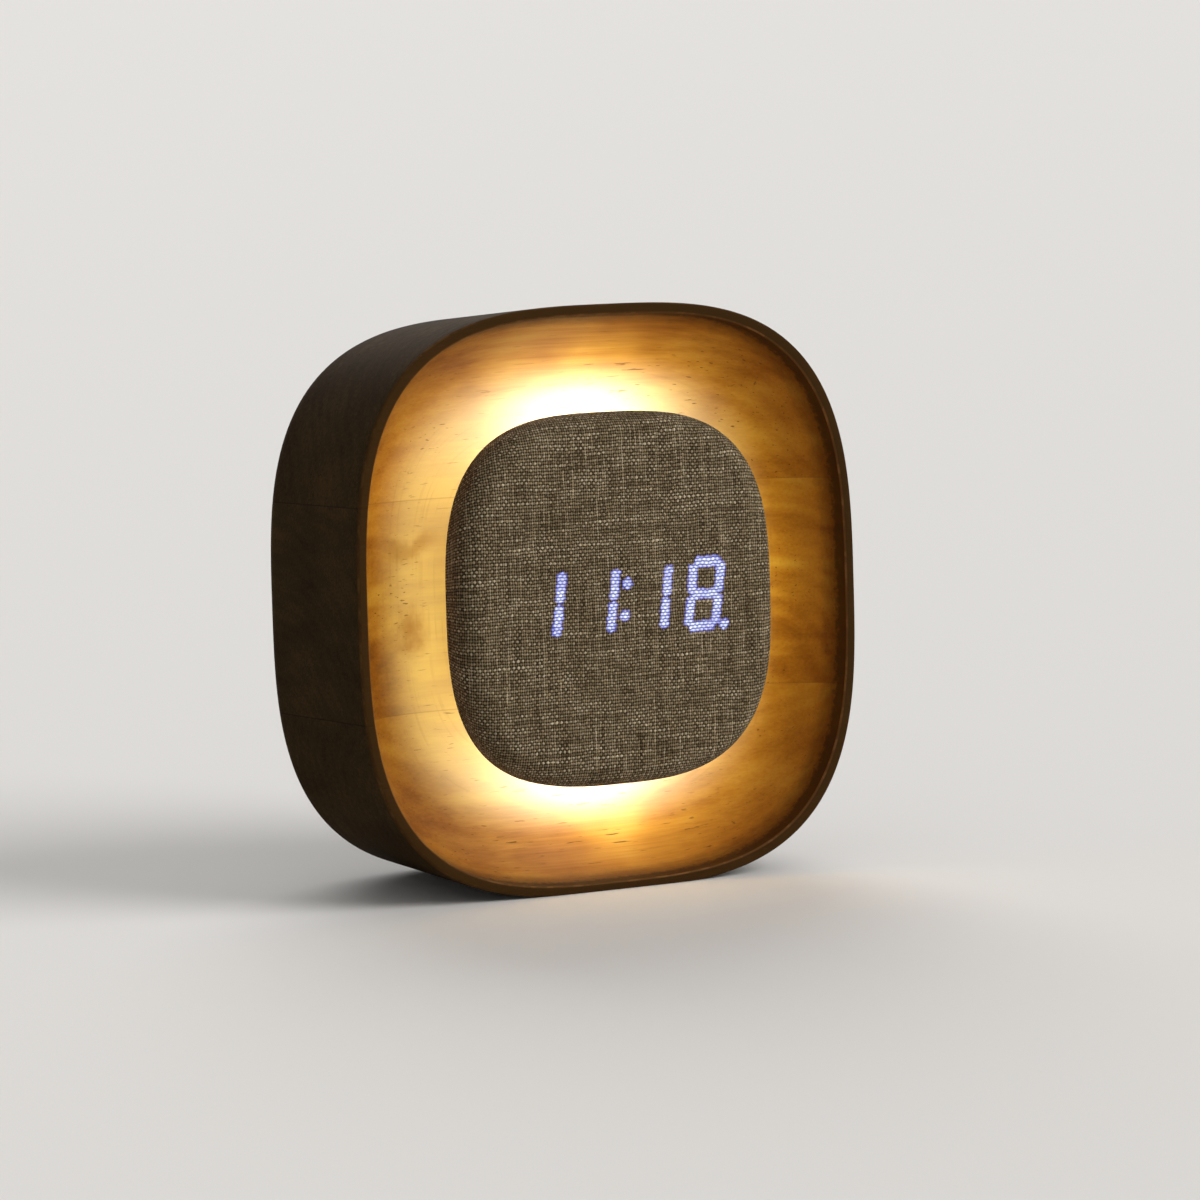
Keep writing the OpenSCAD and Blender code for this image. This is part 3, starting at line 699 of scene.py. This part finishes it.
def node_group(name, sockets):
    """A Geometry Nodes group with the given named inputs: the group, its tree and its inputs."""
    group = bpy.data.node_groups.new(name, "GeometryNodeTree")
    group.interface.new_socket("Geometry", in_out="OUTPUT", socket_type="NodeSocketGeometry")
    for label, kind in sockets:
        group.interface.new_socket(label, in_out="INPUT", socket_type=kind)
    tree = Tree(group)
    given = tree.node("NodeGroupInput")
    return group, tree, given


def run_group(name, mesh, group, values):
    """Runs a Geometry Nodes group on a mesh and returns the plain result."""
    piece = add_object(name, mesh)
    made_by = piece.modifiers.new("maker", "NODES")
    made_by.node_group = group
    ids = {s.name: s.identifier for s in group.interface.items_tree if s.in_out == "INPUT"}
    for label, value in values.items():
        made_by[ids[label]] = value
    return baked(piece, name)


def stood_up(t, geometry, given):
    """Leans a piece that is drawn in the clock's own frame and sets it on the table."""
    return t.node("GeometryNodeTransform", None, {
        "Geometry": geometry, "Translation": given.other("Place"),
        "Rotation": t.join(-given.other("Lean"), 0.0, 0.0), "Scale": (MM, MM, MM),
    })


def shaded(t, geometry, sharp):
    """Shades a piece smooth, apart from the edges that turn by more than sharp."""
    smooth = t.node("GeometryNodeSetShadeSmooth", None, {
        "Geometry": geometry, "Shade Smooth": True,
    })
    return t.node("GeometryNodeSetShadeSmooth", {"domain": "EDGE"}, {
        "Geometry": smooth, "Shade Smooth": False,
        "Selection": t.node("GeometryNodeInputMeshEdgeAngle").above(sharp),
    })


def loft_group():
    """Rounded-square loft: each template point, (half width, depth, squareness), makes a ring."""
    group, t, given = node_group("rounded_square_loft", [
        ("Geometry", "NodeSocketGeometry"), ("Around", "NodeSocketInt"),
        ("Lean", "NodeSocketFloat"), ("Place", "NodeSocketVector"),
        ("Sharp angle", "NodeSocketFloat"),
        ("Outside", "NodeSocketMaterial"), ("Inside", "NodeSocketMaterial"),
    ])
    template = given.other("Geometry")
    around = given.other("Around")
    stations = t.node("GeometryNodeAttributeDomainSize", None, {0: template}, "Point Count")
    sheet = t.node("GeometryNodeMeshGrid", None, {
        "Size X": 1.0, "Size Y": 1.0, "Vertices X": around + 1.0, "Vertices Y": stations,
    })
    index = t.node("GeometryNodeInputIndex")
    station = index % stations
    angle = (index / stations).floor() / around * (2 * math.pi)
    picked = {0: template, "Index": station}
    where = t.node("GeometryNodeSampleIndex", {"data_type": "FLOAT_VECTOR"}, {
        **picked, 1: t.node("GeometryNodeInputPosition"),
    })
    named = t.node("GeometryNodeInputNamedAttribute", {"data_type": "FLOAT"}, {"Name": "bare"})
    bare = t.node("GeometryNodeSampleIndex", {"data_type": "FLOAT"}, {**picked, 1: named})
    half, depth, power = t.split(where)
    across = angle.cos()
    up = angle.sin()
    reach = half / (abs(across) ** power + abs(up) ** power) ** (1.0 / power)
    rings = t.node("GeometryNodeSetPosition", None, {
        "Geometry": sheet, "Position": t.join(reach * across, depth, reach * up),
    })
    rings = t.node("GeometryNodeStoreNamedAttribute", {"data_type": "FLOAT", "domain": "POINT"}, {
        "Geometry": rings, "Name": "bare", "Value": bare,
    })
    closed = t.node("GeometryNodeMergeByDistance", None, {"Geometry": rings, "Distance": 0.002})
    x, y, z = t.split(t.node("GeometryNodeInputPosition"))
    planed = t.node("GeometryNodeSetPosition", None, {
        "Geometry": stood_up(t, closed, given), "Position": t.join(x, y, z.most(0.0)),
    })
    edged = shaded(t, planed, given.other("Sharp angle"))
    real = t.node("GeometryNodeRealizeInstances", None, {"Geometry": edged})
    outside = t.node("GeometryNodeSetMaterial", None, {
        "Geometry": real, "Material": given.other("Outside"),
    })
    inner_face = t.node("GeometryNodeInputNamedAttribute", {"data_type": "FLOAT"}, {"Name": "bare"})
    done = t.node("GeometryNodeSetMaterial", None, {
        "Geometry": outside, "Selection": inner_face.above(0.99), "Material": given.other("Inside"),
    })
    t.node("NodeGroupOutput", None, {0: done})
    return group


def template_mesh(name, stations):
    """A template line of (half width, depth, squareness, bare) stations."""
    mesh = bpy.data.meshes.new(name)
    mesh.from_pydata([s[:3] for s in stations], [(i, i + 1) for i in range(len(stations) - 1)], [])
    bare = mesh.attributes.new("bare", "FLOAT", "POINT")
    for i, s in enumerate(stations):
        bare.data[i].value = s[3]
    return mesh


def shell_stations():
    """Template of the wooden shell, from the cable hole over dish, rim and back to the hole."""
    circle, round_within = 2.0, 20.0
    bare = [(r, DISH_D) for r in FLOOR_RINGS]
    bare += [
        (DISH_FLOOR_HALF + (LIP_HALF - DISH_FLOOR_HALF) * math.sin(a),
         RIM_ROUND + (DISH_D - RIM_ROUND) * math.cos(a))
        for a in angles(26)
    ]
    outer = [
        (LIP_HALF + RIM_ROUND * (1 - math.cos(a)), RIM_ROUND * (1 - math.sin(a)))
        for a in angles(5)[1:]
    ]
    outer += [(SHELL_HALF - RIM_LAND / 2, 0.0)]
    outer += [
        (SHELL_HALF - RIM_ROUND * (1 - math.sin(a)), RIM_ROUND * (1 - math.cos(a)))
        for a in angles(6)
    ]
    back = rounded(BACK_HALF, SHELL_D, BACK_ROUND, angles(14, math.degrees(LEAN)))
    wall_from = np.array(outer[-1])
    wall_to = np.array(back[0])
    wall_steps = 12
    outer += [
        tuple(wall_from + (wall_to - wall_from) * i / wall_steps) for i in range(1, wall_steps)
    ]
    outer += back
    outer += [(COVER_REBATE_HALF, SHELL_D), (COVER_REBATE_HALF, COVER_FRONT)]
    outer += [(POCKET_HALF, COVER_FRONT), (POCKET_HALF, POCKET_D)]
    hole_back = (CABLE_HOLE_R, POCKET_D, circle, 0.0)
    rows = [(r, d, circle if r < round_within else SHELL_POWER, 1.0) for r, d in bare]
    rows += [(r, d, SHELL_POWER, 0.0) for r, d in outer]
    return [hole_back] + rows + [hole_back]


def make_wooden_shell(loft, finishes):
    """The shell, of bare wood in the dish and of stained wood all round it."""
    template = template_mesh("shell_template", shell_stations())
    shell = run_group("wood_shell_turned", template, loft, {
        "Around": SHELL_AROUND, "Lean": LEAN, "Place": STAND_AT, "Sharp angle": SHELL_CORNER,
        "Outside": finishes["stained_wood"], "Inside": finishes["bare_wood"],
    })
    hand_over(shell, "clock", ["wood_shell"])


def make_light_ring(loft, finishes):
    """The opal ring round the pod's base plate, over the lamps."""
    eased = RING_BACK - RING_EDGE
    line = [
        (RING_INNER, RING_FRONT), (RING_OUTER, RING_FRONT), (RING_OUTER, eased),
        (RING_OUTER - RING_EDGE, RING_BACK), (PLATE_HALF + RING_EDGE, RING_BACK),
        (PLATE_HALF, eased), (PLATE_HALF, PLATE_FRONT), (RING_INNER, PLATE_FRONT),
        (RING_INNER, RING_FRONT),
    ]
    template = template_mesh("ring_template", [(r, d, POD_POWER, 0.0) for r, d in line])
    ring = run_group("light_ring_opal", template, loft, {
        "Around": RING_AROUND, "Lean": LEAN, "Place": STAND_AT, "Sharp angle": RING_CORNER,
        "Outside": finishes["diffuser"], "Inside": finishes["diffuser"],
    })
    hand_over(ring, "clock", ["light_diffuser"])


def cloth_line():
    """The cloth's path, (half, depth), from the middle of the face over the edge to its hem."""
    flat = POD_HALF - POD_ROUND
    line = [(flat * s, -POD_PROUD + POD_CROWN * s * s) for s in np.linspace(0, 1, 24)]
    line += [
        (flat + POD_ROUND * math.sin(a), -POD_PROUD + POD_CROWN + POD_ROUND * (1 - math.cos(a)))
        for a in angles(18)[1:]
    ]
    line += rounded(POD_HALF, POD_REAR, HEM_ROUND, angles(4))
    line += [(HEM_IN, POD_REAR)]
    return np.array(line)


def make_cloth(finishes):
    """The cloth as one sheet pulled over the pod, on a grid that has no pole."""
    line = cloth_line()
    run = np.concatenate([[0.0], np.cumsum(np.hypot(*np.diff(line, axis=0).T))])
    cells = 76
    steps = np.linspace(-1, 1, 2 * cells + 1)
    a, b = np.meshgrid(steps, steps, indexing="ij")
    ring = np.maximum(abs(a), abs(b))
    reach = (abs(a) ** POD_POWER + abs(b) ** POD_POWER) ** (1 / POD_POWER)
    reach[ring == 0] = 1.0
    along = ring * run[-1]
    half = np.interp(along, run, line[:, 0])
    depth = np.interp(along, run, line[:, 1])
    x = a / reach * half
    z = b / reach * half
    uneven = 0.035
    pull = np.sin(x * 0.41 + 1.3) * np.sin(z * 0.37 + 0.4)
    pull = pull + 0.6 * np.sin(x * 0.93) * np.sin(z * 1.07 + 2.0)
    depth = depth + uneven * (1 + pull) * (1 - ring ** 6)
    count = 2 * cells + 1
    points = [STAND @ Vector(p) for p in zip(x.flat, depth.flat, z.flat)]
    faces = [
        (i * count + j, (i + 1) * count + j, (i + 1) * count + j + 1, i * count + j + 1)
        for i in range(2 * cells) for j in range(2 * cells)
    ]
    mesh = bpy.data.meshes.new("pod_cloth")
    mesh.from_pydata(points, [], faces)
    stretch = np.where(half > 0, along / np.maximum(half, 1e-6), 1.0)
    flat_u = (0.5 + x * stretch / FLAT_SPAN).ravel()
    flat_v = (0.5 + z * stretch / FLAT_SPAN).ravel()
    layer = mesh.uv_layers.new(name="flat")
    for loop in mesh.loops:
        layer.data[loop.index].uv = (flat_u[loop.vertex_index], flat_v[loop.vertex_index])
    mesh.polygons.foreach_set("use_smooth", [True] * len(mesh.polygons))
    mesh.materials.append(finishes["cloth"])
    piece = add_object("pod_cloth_raw", mesh)
    thick = piece.modifiers.new("thickness", "SOLIDIFY")
    thick.thickness = CLOTH_T * MM
    thick.offset = -1.0
    cloth = baked(piece, "pod_cloth")
    hand_over(cloth, "clock", ["cloth_cover"])


def eased_copy(node, name, body, finish, ease):
    """A CAD piece again, with its sharp edges eased and its curved walls shaded smooth."""
    bm = bmesh.new()
    bm.from_mesh(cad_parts[node].data)
    bmesh.ops.remove_doubles(bm, verts=bm.verts, dist=1e-6)
    bmesh.ops.dissolve_limit(bm, angle_limit=FLAT_ANGLE, verts=bm.verts, edges=bm.edges)
    mesh = bpy.data.meshes.new(name)
    bm.to_mesh(mesh)
    bm.clear()
    mesh.polygons.foreach_set("use_smooth", [True] * len(mesh.polygons))
    mesh.materials.append(finish)
    piece = add_object(name + "_raw", mesh)
    easing = piece.modifiers.new("easing", "BEVEL")
    easing.width = ease * MM
    easing.segments = 2
    easing.limit_method = "ANGLE"
    easing.angle_limit = EASE_ANGLE
    eased = baked(piece, name)
    bm.from_mesh(eased.data)
    for edge in bm.edges:
        edge.smooth = len(edge.link_faces) == 2 and edge.calc_face_angle(0) < SMOOTH_ANGLE
    bm.to_mesh(eased.data)
    bm.free()
    hand_over(eased, body, [node])


def screw_group():
    """Pan-head screws with a cross recess and a ridged shank, one on every given point."""
    sizes = ("Head radius", "Head height", "Shank radius", "Shank length", "Turn")
    group, t, given = node_group("screws", [
        ("Geometry", "NodeSocketGeometry"), *((label, "NodeSocketFloat") for label in sizes),
        ("Lean", "NodeSocketFloat"), ("Place", "NodeSocketVector"), ("Seed", "NodeSocketInt"),
        ("Metal", "NodeSocketMaterial"),
    ])
    head_r, head_h, shank_r, shank_l, turn = (given.other(label) for label in sizes)
    disc = t.node("GeometryNodeMeshCylinder", None, {
        "Vertices": 40, "Side Segments": 5, "Fill Segments": 4, "Radius": head_r, "Depth": head_h,
    })
    x, y, z = t.split(t.node("GeometryNodeInputPosition"))
    height = z / head_h + 0.5
    spread = far(x, y) / head_r
    squeeze = 1.0 - height * height * height * 0.16
    domed = t.join(x * squeeze, y * squeeze, z + head_h * (0.5 - height * spread * spread * 0.2))
    dome = t.node("GeometryNodeSetPosition", None, {"Geometry": disc, "Position": domed})
    slots = []
    for wide, long in ((0.28, 1.2), (1.2, 0.28)):
        size = t.join(head_r * wide, head_r * long, head_h * 1.2)
        bar = t.node("GeometryNodeMeshCube", None, {"Size": size})
        slots.append(t.node("GeometryNodeTransform", None, {
            "Geometry": bar, "Translation": t.join(0.0, 0.0, head_h),
        }))
    cross = t.node("GeometryNodeMeshBoolean", {"operation": "UNION"}, {1: slots[0]})
    t.tree.links.new(slots[1].socket, cross.socket.node.inputs[1])
    cut = t.node("GeometryNodeMeshBoolean", {"operation": "DIFFERENCE"}, {0: dome, 1: cross})
    shank = t.node("GeometryNodeMeshCylinder", None, {
        "Vertices": 20, "Side Segments": 40, "Radius": shank_r, "Depth": shank_l,
    })
    ridge = 0.90 + (z * 8.0).cos() * 0.10
    thread = t.node("GeometryNodeSetPosition", None, {
        "Geometry": shank, "Position": t.join(x * ridge, y * ridge, z - shank_l * 0.5),
    })
    whole = t.node("GeometryNodeJoinGeometry", None, {0: cut})
    t.tree.links.new(thread.socket, whole.socket.node.inputs[0])
    spin = t.node("FunctionNodeRandomValue", {"data_type": "FLOAT"}, {
        2: 0.0, 3: math.pi / 2, "Seed": given.other("Seed"),
    }, 1)
    placed = t.node("GeometryNodeInstanceOnPoints", None, {
        "Points": given.other("Geometry"), "Instance": whole, "Rotation": t.join(turn, spin, 0.0),
    })
    real = t.node("GeometryNodeRealizeInstances", None, {"Geometry": stood_up(t, placed, given)})
    done = t.node("GeometryNodeSetMaterial", None, {
        "Geometry": shaded(t, real, SMALL_CORNER), "Material": given.other("Metal"),
    })
    t.node("NodeGroupOutput", None, {0: done})
    return group


def corners(x, depth, z, middle_z=0.0):
    """Four places at the corners of an upright rectangle."""
    return [(sx * x, depth, middle_z + sz * z) for sx in (-1, 1) for sz in (-1, 1)]


def make_screws(finishes):
    """The screws, each set of four as one piece."""
    group = screw_group()
    back, front = -math.pi / 2, math.pi / 2
    on_cover = corners(COVER_SCREW_AT, COVER_SCREW_SEAT, COVER_SCREW_AT)
    on_plate = corners(POD_SCREW_AT, RING_BACK, POD_SCREW_AT)
    on_floor = corners(FLOOR_SCREW_AT, POCKET_D, FLOOR_SCREW_AT)
    on_board = corners(BOARD_SCREW_X, BOARD_FRONT, BOARD_SCREW_Z, BOARD_Z)
    for number, (name, slot, points, length, turn) in enumerate((
        ("cover_screws", "cover_screw_steel", on_cover, COVER_SCREW_L, back),
        ("pod_screws", "screw_steel", on_plate, POD_SCREW_L, back),
        ("pedestal_screws", "screw_steel", on_floor, FLOOR_SCREW_L, back),
        ("board_screws", "screw_steel", on_board, BOARD_SCREW_L, front),
    )):
        mesh = bpy.data.meshes.new(name + "_places")
        mesh.from_pydata(points, [], [])
        screws = run_group(name + "_cross", mesh, group, {
            "Head radius": SCREW_HEAD_R, "Head height": SCREW_HEAD_H, "Shank radius": SCREW_R,
            "Shank length": length, "Turn": turn, "Lean": LEAN, "Place": STAND_AT, "Seed": number,
            "Metal": finishes[slot],
        })
        hand_over(screws, "clock", [name])


def prism(bm, outline, low, high):
    """A flat sign of the given outline, standing from depth low to depth high."""
    foot = [bm.verts.new((x, low, z)) for x, z in outline]
    top = [bm.verts.new((x, high, z)) for x, z in outline]
    faces = [bm.faces.new(top), bm.faces.new(foot[::-1])]
    for i in range(len(outline)):
        j = (i + 1) % len(outline)
        faces.append(bm.faces.new((foot[i], foot[j], top[j], top[i])))
    return faces


def turned(bm, line, steps=64):
    """A shape turned about Y from (radius, depth) points; a radius of 0 becomes one point."""
    rings = []
    for r, d in line:
        if r == 0:
            rings.append([bm.verts.new((0, d, 0))] * steps)
        else:
            turn = [2 * math.pi * i / steps for i in range(steps)]
            rings.append([bm.verts.new((r * math.cos(a), d, r * math.sin(a))) for a in turn])
    faces = []
    for first, second in zip(rings, rings[1:]):
        for i in range(steps):
            j = (i + 1) % steps
            loop = list(dict.fromkeys((first[i], first[j], second[j], second[i])))
            faces.append(bm.faces.new(loop))
    return faces


def box_outline(x, z, w, h, turn=0.0):
    """The corners of a turned rectangle about a middle."""
    c, s = math.cos(turn), math.sin(turn)
    return [
        (x + dx * c - dz * s, z + dx * s + dz * c)
        for dx, dz in ((-w / 2, -h / 2), (w / 2, -h / 2), (w / 2, h / 2), (-w / 2, h / 2))
    ]


def key_sign(bm, key):
    """The raised sign on a button: clock, minus, plus or sun."""
    low, high = BUTTON_BACK - 0.5, BUTTON_BACK - 0.06
    arm, stroke = 1.5, 0.24
    face_r, face_in = 1.55, 1.2
    hand, hour, minute = 0.17, 0.75, 0.95
    sun_r, ray_at, ray_l, ray_w = 0.72, 1.35, 0.55, 0.28
    if key == "set":
        face = [(face_r, low), (face_r, high), (face_in, high), (face_in, low), (face_r, low)]
        hands = [(-hand, -hand), (hour, -hand), (hour, hand)]
        hands += [(hand, hand), (hand, minute), (-hand, minute)]
        return turned(bm, face, 40) + prism(bm, hands, low, high)
    if key == "minus":
        return prism(bm, box_outline(0, 0, 2 * arm, 2 * stroke), low, high)
    if key == "plus":
        quarter = [(stroke, stroke), (stroke, arm), (-stroke, arm)]
        outline = []
        for turn in range(4):
            c, s = round(math.cos(turn * math.pi / 2)), round(math.sin(turn * math.pi / 2))
            outline += [(x * c - z * s, x * s + z * c) for x, z in quarter]
        return prism(bm, outline, low, high)
    faces = turned(bm, [(0, low), (sun_r, low), (sun_r, high), (0, high)], 32)
    for i in range(8):
        turn = math.pi * i / 4
        x, z = ray_at * math.cos(turn), ray_at * math.sin(turn)
        faces += prism(bm, box_outline(x, z, ray_l, ray_w, turn), low, high)
    return faces


def make_buttons(finishes):
    """The four button caps, each a turned cap with a dished top and its raised sign."""
    edge, dish_r, dish = 0.55, 2.55, 0.28
    line = [
        (0, BUTTON_FRONT), (BUTTON_FLANGE_R, BUTTON_FRONT), (BUTTON_FLANGE_R, BUTTON_FLANGE_BACK),
        (BUTTON_R, BUTTON_FLANGE_BACK),
    ]
    line += rounded(BUTTON_R, BUTTON_BACK, edge, angles(6))
    line += [
        (dish_r * s, BUTTON_BACK - dish * (1 - s * s) ** 2) for s in (1.0, 0.85, 0.7, 0.5, 0.3, 0.0)
    ]
    for number, key in enumerate(KEYS):
        bm = bmesh.new()
        for face in turned(bm, line):
            face.smooth = True
        for face in key_sign(bm, key):
            face.material_index = 1
        bmesh.ops.recalc_face_normals(bm, faces=bm.faces)
        across = (number - (len(KEYS) - 1) / 2) * BUTTON_PITCH
        bm.transform(STAND @ Matrix.Translation((across, 0, BUTTON_Z)))
        for e in bm.edges:
            e.smooth = len(e.link_faces) == 2 and e.calc_face_angle(0) < SMALL_CORNER
        mesh = bpy.data.meshes.new(key + "_button_cap")
        bm.to_mesh(mesh)
        bm.free()
        mesh.materials.append(finishes["button"])
        mesh.materials.append(finishes["button_sign"])
        hand_over(add_object(key + "_button_cap", mesh), key + "_key", [key + "_button"])


def contact_group():
    """Flat gold contacts, one on every given point."""
    group, t, given = node_group("contacts", [
        ("Geometry", "NodeSocketGeometry"), ("Size", "NodeSocketVector"),
        ("Lean", "NodeSocketFloat"), ("Place", "NodeSocketVector"), ("Metal", "NodeSocketMaterial"),
    ])
    pad = t.node("GeometryNodeMeshCube", None, {"Size": given.other("Size")})
    placed = t.node("GeometryNodeInstanceOnPoints", None, {
        "Points": given.other("Geometry"), "Instance": pad,
    })
    real = t.node("GeometryNodeRealizeInstances", None, {"Geometry": stood_up(t, placed, given)})
    done = t.node("GeometryNodeSetMaterial", None, {
        "Geometry": real, "Material": given.other("Metal"),
    })
    t.node("NodeGroupOutput", None, {0: done})
    return group


def make_contacts(finishes):
    """Two rows of contacts, above and below the socket's tongue."""
    first = -CONTACT_PITCH * (CONTACT_COUNT - 1) / 2
    places = [
        (first + CONTACT_PITCH * i, USB_BACK - CONTACT_IN, USB_Z + side * CONTACT_OFF)
        for i in range(CONTACT_COUNT) for side in (-1, 1)
    ]
    mesh = bpy.data.meshes.new("contact_places")
    mesh.from_pydata(places, [], [])
    row = run_group("socket_contacts", mesh, contact_group(), {
        "Size": CONTACT_SIZE, "Lean": LEAN, "Place": STAND_AT, "Metal": finishes["contact"],
    })
    hand_over(row, "clock")


def make_back(finishes):
    """The cover and the pieces in it, with their edges eased."""
    for node, slot, ease in (
        ("rear_cover", "cover_plastic", 0.22), ("sounder_grille", "grille", 0.12),
        ("usb_shell", "socket_steel", 0.06), ("usb_tongue", "socket_tongue", 0.05),
    ):
        eased_copy(node, node + "_eased", "clock", finishes[slot], ease)


# Scene

def make_finishes():
    """Every finish, by the name of the record's slot that it belongs to."""
    finishes = {
        "stained_wood": stained_wood(),
        "bare_wood": bare_wood(),
        "cloth": melange_cloth(),
        "diffuser": light_panel(),
        "display_bars": glowing_chip("display_bars", colour(214, 212, 255), 1.2),
        "lamp_chips": glowing_chip("lamp_chips", colour(255, 214, 140), 3.0),
        "circuit_board": circuit_board("circuit_board", colour(24, 84, 52), colour(38, 110, 66)),
        "lamp_board": circuit_board("lamp_board", colour(228, 228, 220), colour(212, 208, 192)),
        "ribbon": striped_cable("ribbon", colour(186, 186, 184), colour(170, 60, 52), 0.95),
        "lead": striped_cable("lead", colour(152, 40, 34), colour(34, 32, 32), 1.2),
        "battery_wrap": wrapped_film("battery_wrap", colour(58, 88, 132), colour(78, 110, 156)),
        "foam": open_foam("foam", colour(176, 172, 158), colour(214, 210, 196)),
    }
    for name, tint, *feel in (
        ("pod_plastic", (46, 44, 42), 0.55),
        ("display_block", (30, 30, 33), 0.4),
        ("header", (232, 224, 204), 0.45),
        ("component", (40, 40, 44), 0.42, 2.0),
        ("switch", (48, 48, 50), 0.45),
        ("plunger", (208, 206, 200), 0.4),
        ("button", (38, 36, 34), 0.58, 4.0, 0.02),
        ("button_sign", (196, 192, 184), 0.5),
        ("socket_tongue", (26, 26, 28), 0.4),
        ("sounder_cone", (28, 28, 30), 0.6, 1.2, 0.08),
        ("grille", (34, 33, 32), 0.5),
        ("cover_plastic", (44, 40, 37), 0.52, 1.25, 0.14),
    ):
        finishes[name] = moulded_plastic(name, colour(*tint), *feel)
    for name, tint, rough in (
        ("screw_steel", (186, 184, 180), 0.28),
        ("cover_screw_steel", (92, 88, 84), 0.32),
        ("contact", (222, 184, 98), 0.2),
        ("socket_steel", (196, 198, 202), 0.25),
        ("sounder_frame", (88, 88, 92), 0.35),
    ):
        finishes[name] = turned_metal(name, colour(*tint), rough)
    return finishes


def dress_nodes(finishes):
    """Every CAD node that stays gets its finish, by the slot that the record gives it."""
    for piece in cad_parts.values():
        for held in piece.material_slots:
            slot = held.material.name.split(".")[0] if held.material else ""
            if slot in finishes:
                held.material = finishes[slot]


def add_camera():
    """The camera at the photograph's viewing angle."""
    turn = Matrix.Rotation(CAMERA_ROLL, 3, "Y") @ Matrix.Rotation(CAMERA_PITCH, 3, "X")
    turn = turn @ Matrix.Rotation(CAMERA_YAW, 3, "Z")
    eye = -(turn.transposed() @ Vector(MIDDLE_FROM_EYE))
    stood = STAND.to_3x3().normalized()
    right, ahead, up = (stood @ turn[i] for i in range(3))
    camera = add_object("camera", bpy.data.cameras.new("camera"))
    camera.data.sensor_width = SENSOR_W
    camera.data.lens = SENSOR_W * LENS_PER_WIDTH
    camera.data.clip_end = 100.0
    facing = Matrix((right, up, -ahead)).transposed().to_4x4()
    camera.matrix_world = Matrix.Translation(STAND @ eye) @ facing
    bpy.context.scene.camera = camera


def add_lamp(name, place, softness, level):
    """A far, soft studio lamp that shines from place towards the clock, equally all over."""
    lamp = bpy.data.lights.new(name, "SUN")
    lamp.angle = math.radians(softness)
    lamp.energy = level
    held = add_object(name, lamp)
    held.rotation_euler = (-Vector(place)).to_track_quat("-Z", "Y").to_euler()


def add_dish_lamps():
    """The lamps behind the opal ring, which light the dish most in two lobes, above and below."""
    out, back = math.sin(LAMP_TILT), math.cos(LAMP_TILT)
    for i in range(LAMP_COUNT):
        turn = 2 * math.pi * (i + 0.5) / LAMP_COUNT
        across, up = math.cos(turn), math.sin(turn)
        round_by = (abs(across) ** POD_POWER + abs(up) ** POD_POWER) ** (1 / POD_POWER)
        reach = LAMP_HALF / round_by
        lamp = bpy.data.lights.new("dish_lamp", "AREA")
        lamp.shape = "SQUARE"
        lamp.size = LAMP_SIZE * MM
        lamp.spread = math.radians(LAMP_SPREAD)
        off_peak = math.pi - abs(math.pi - turn) - LAMP_PEAK
        power = LOBE_POWER_RIGHT if off_peak < 0 else LOBE_POWER_LEFT
        level = max(0.0, math.cos(off_peak)) ** power
        lamp.color = Vector(LAMP_WARM).lerp(Vector(LAMP_WHITE), level)
        aside = SIDE_SHARE - SIDE_LEFT * across
        aside += SIDE_RIGHT * max(0.0, across) ** SIDE_RIGHT_POWER
        lamp.energy = LAMP_WATTS * (aside + LOBE_SHARE * level) * (1.0 - TOP_LOSS * up)
        held = add_object("dish_lamp", lamp)
        ahead = STAND.to_3x3() @ Vector((out * across, back, out * up))
        held.location = STAND @ Vector((reach * across, LAMP_D, reach * up))
        held.rotation_euler = ahead.to_track_quat("-Z", "Y").to_euler()


def add_studio():
    """A plain pale floor, a white surround, and soft light from three sides."""
    floor_mesh = bpy.data.meshes.new("floor")
    corner_signs = ((-1, -1), (1, -1), (1, 1), (-1, 1))
    floor_corners = [(sx * FLOOR_REACH, sy * FLOOR_REACH, 0) for sx, sy in corner_signs]
    floor_mesh.from_pydata(floor_corners, [], [(0, 1, 2, 3)])
    floor_mesh.materials.append(Finish("pale_floor").surface({
        "Base Color": colour(220, 217, 213), "Roughness": 0.85,
    }))
    floor = add_object("floor", floor_mesh)
    world = bpy.data.worlds.new("studio")
    bpy.context.scene.world = world
    world.use_nodes = True
    t = Tree(world.node_tree)
    world.node_tree.nodes.clear()
    path = t.node("ShaderNodeLightPath")
    seen = path + path.other("Is Glossy Ray") + path.other("Is Transmission Ray")
    strength = WORLD_LIGHT + seen.least(1.0) * (1.0 - WORLD_LIGHT)
    back = t.node("ShaderNodeBackground", None, {"Color": (1, 1, 1, 1), "Strength": strength})
    t.node("ShaderNodeOutputWorld", None, {"Surface": back})
    add_lamp("key", (1.15, -1.0, 1.0), 40.0, 2.05)
    add_lamp("fill", (-0.4, -0.6, 1.2), 60.0, 0.12)
    add_lamp("behind", (0.5, 1.2, 1.0), 45.0, 1.40)
    bpy.context.scene.view_settings.view_transform = "Standard"


add_camera()
add_studio()
add_dish_lamps()
FINISHES = make_finishes()
LOFT = loft_group()
make_wooden_shell(LOFT, FINISHES)
make_light_ring(LOFT, FINISHES)
make_cloth(FINISHES)
make_screws(FINISHES)
make_buttons(FINISHES)
make_back(FINISHES)
make_contacts(FINISHES)
dress_nodes(FINISHES)
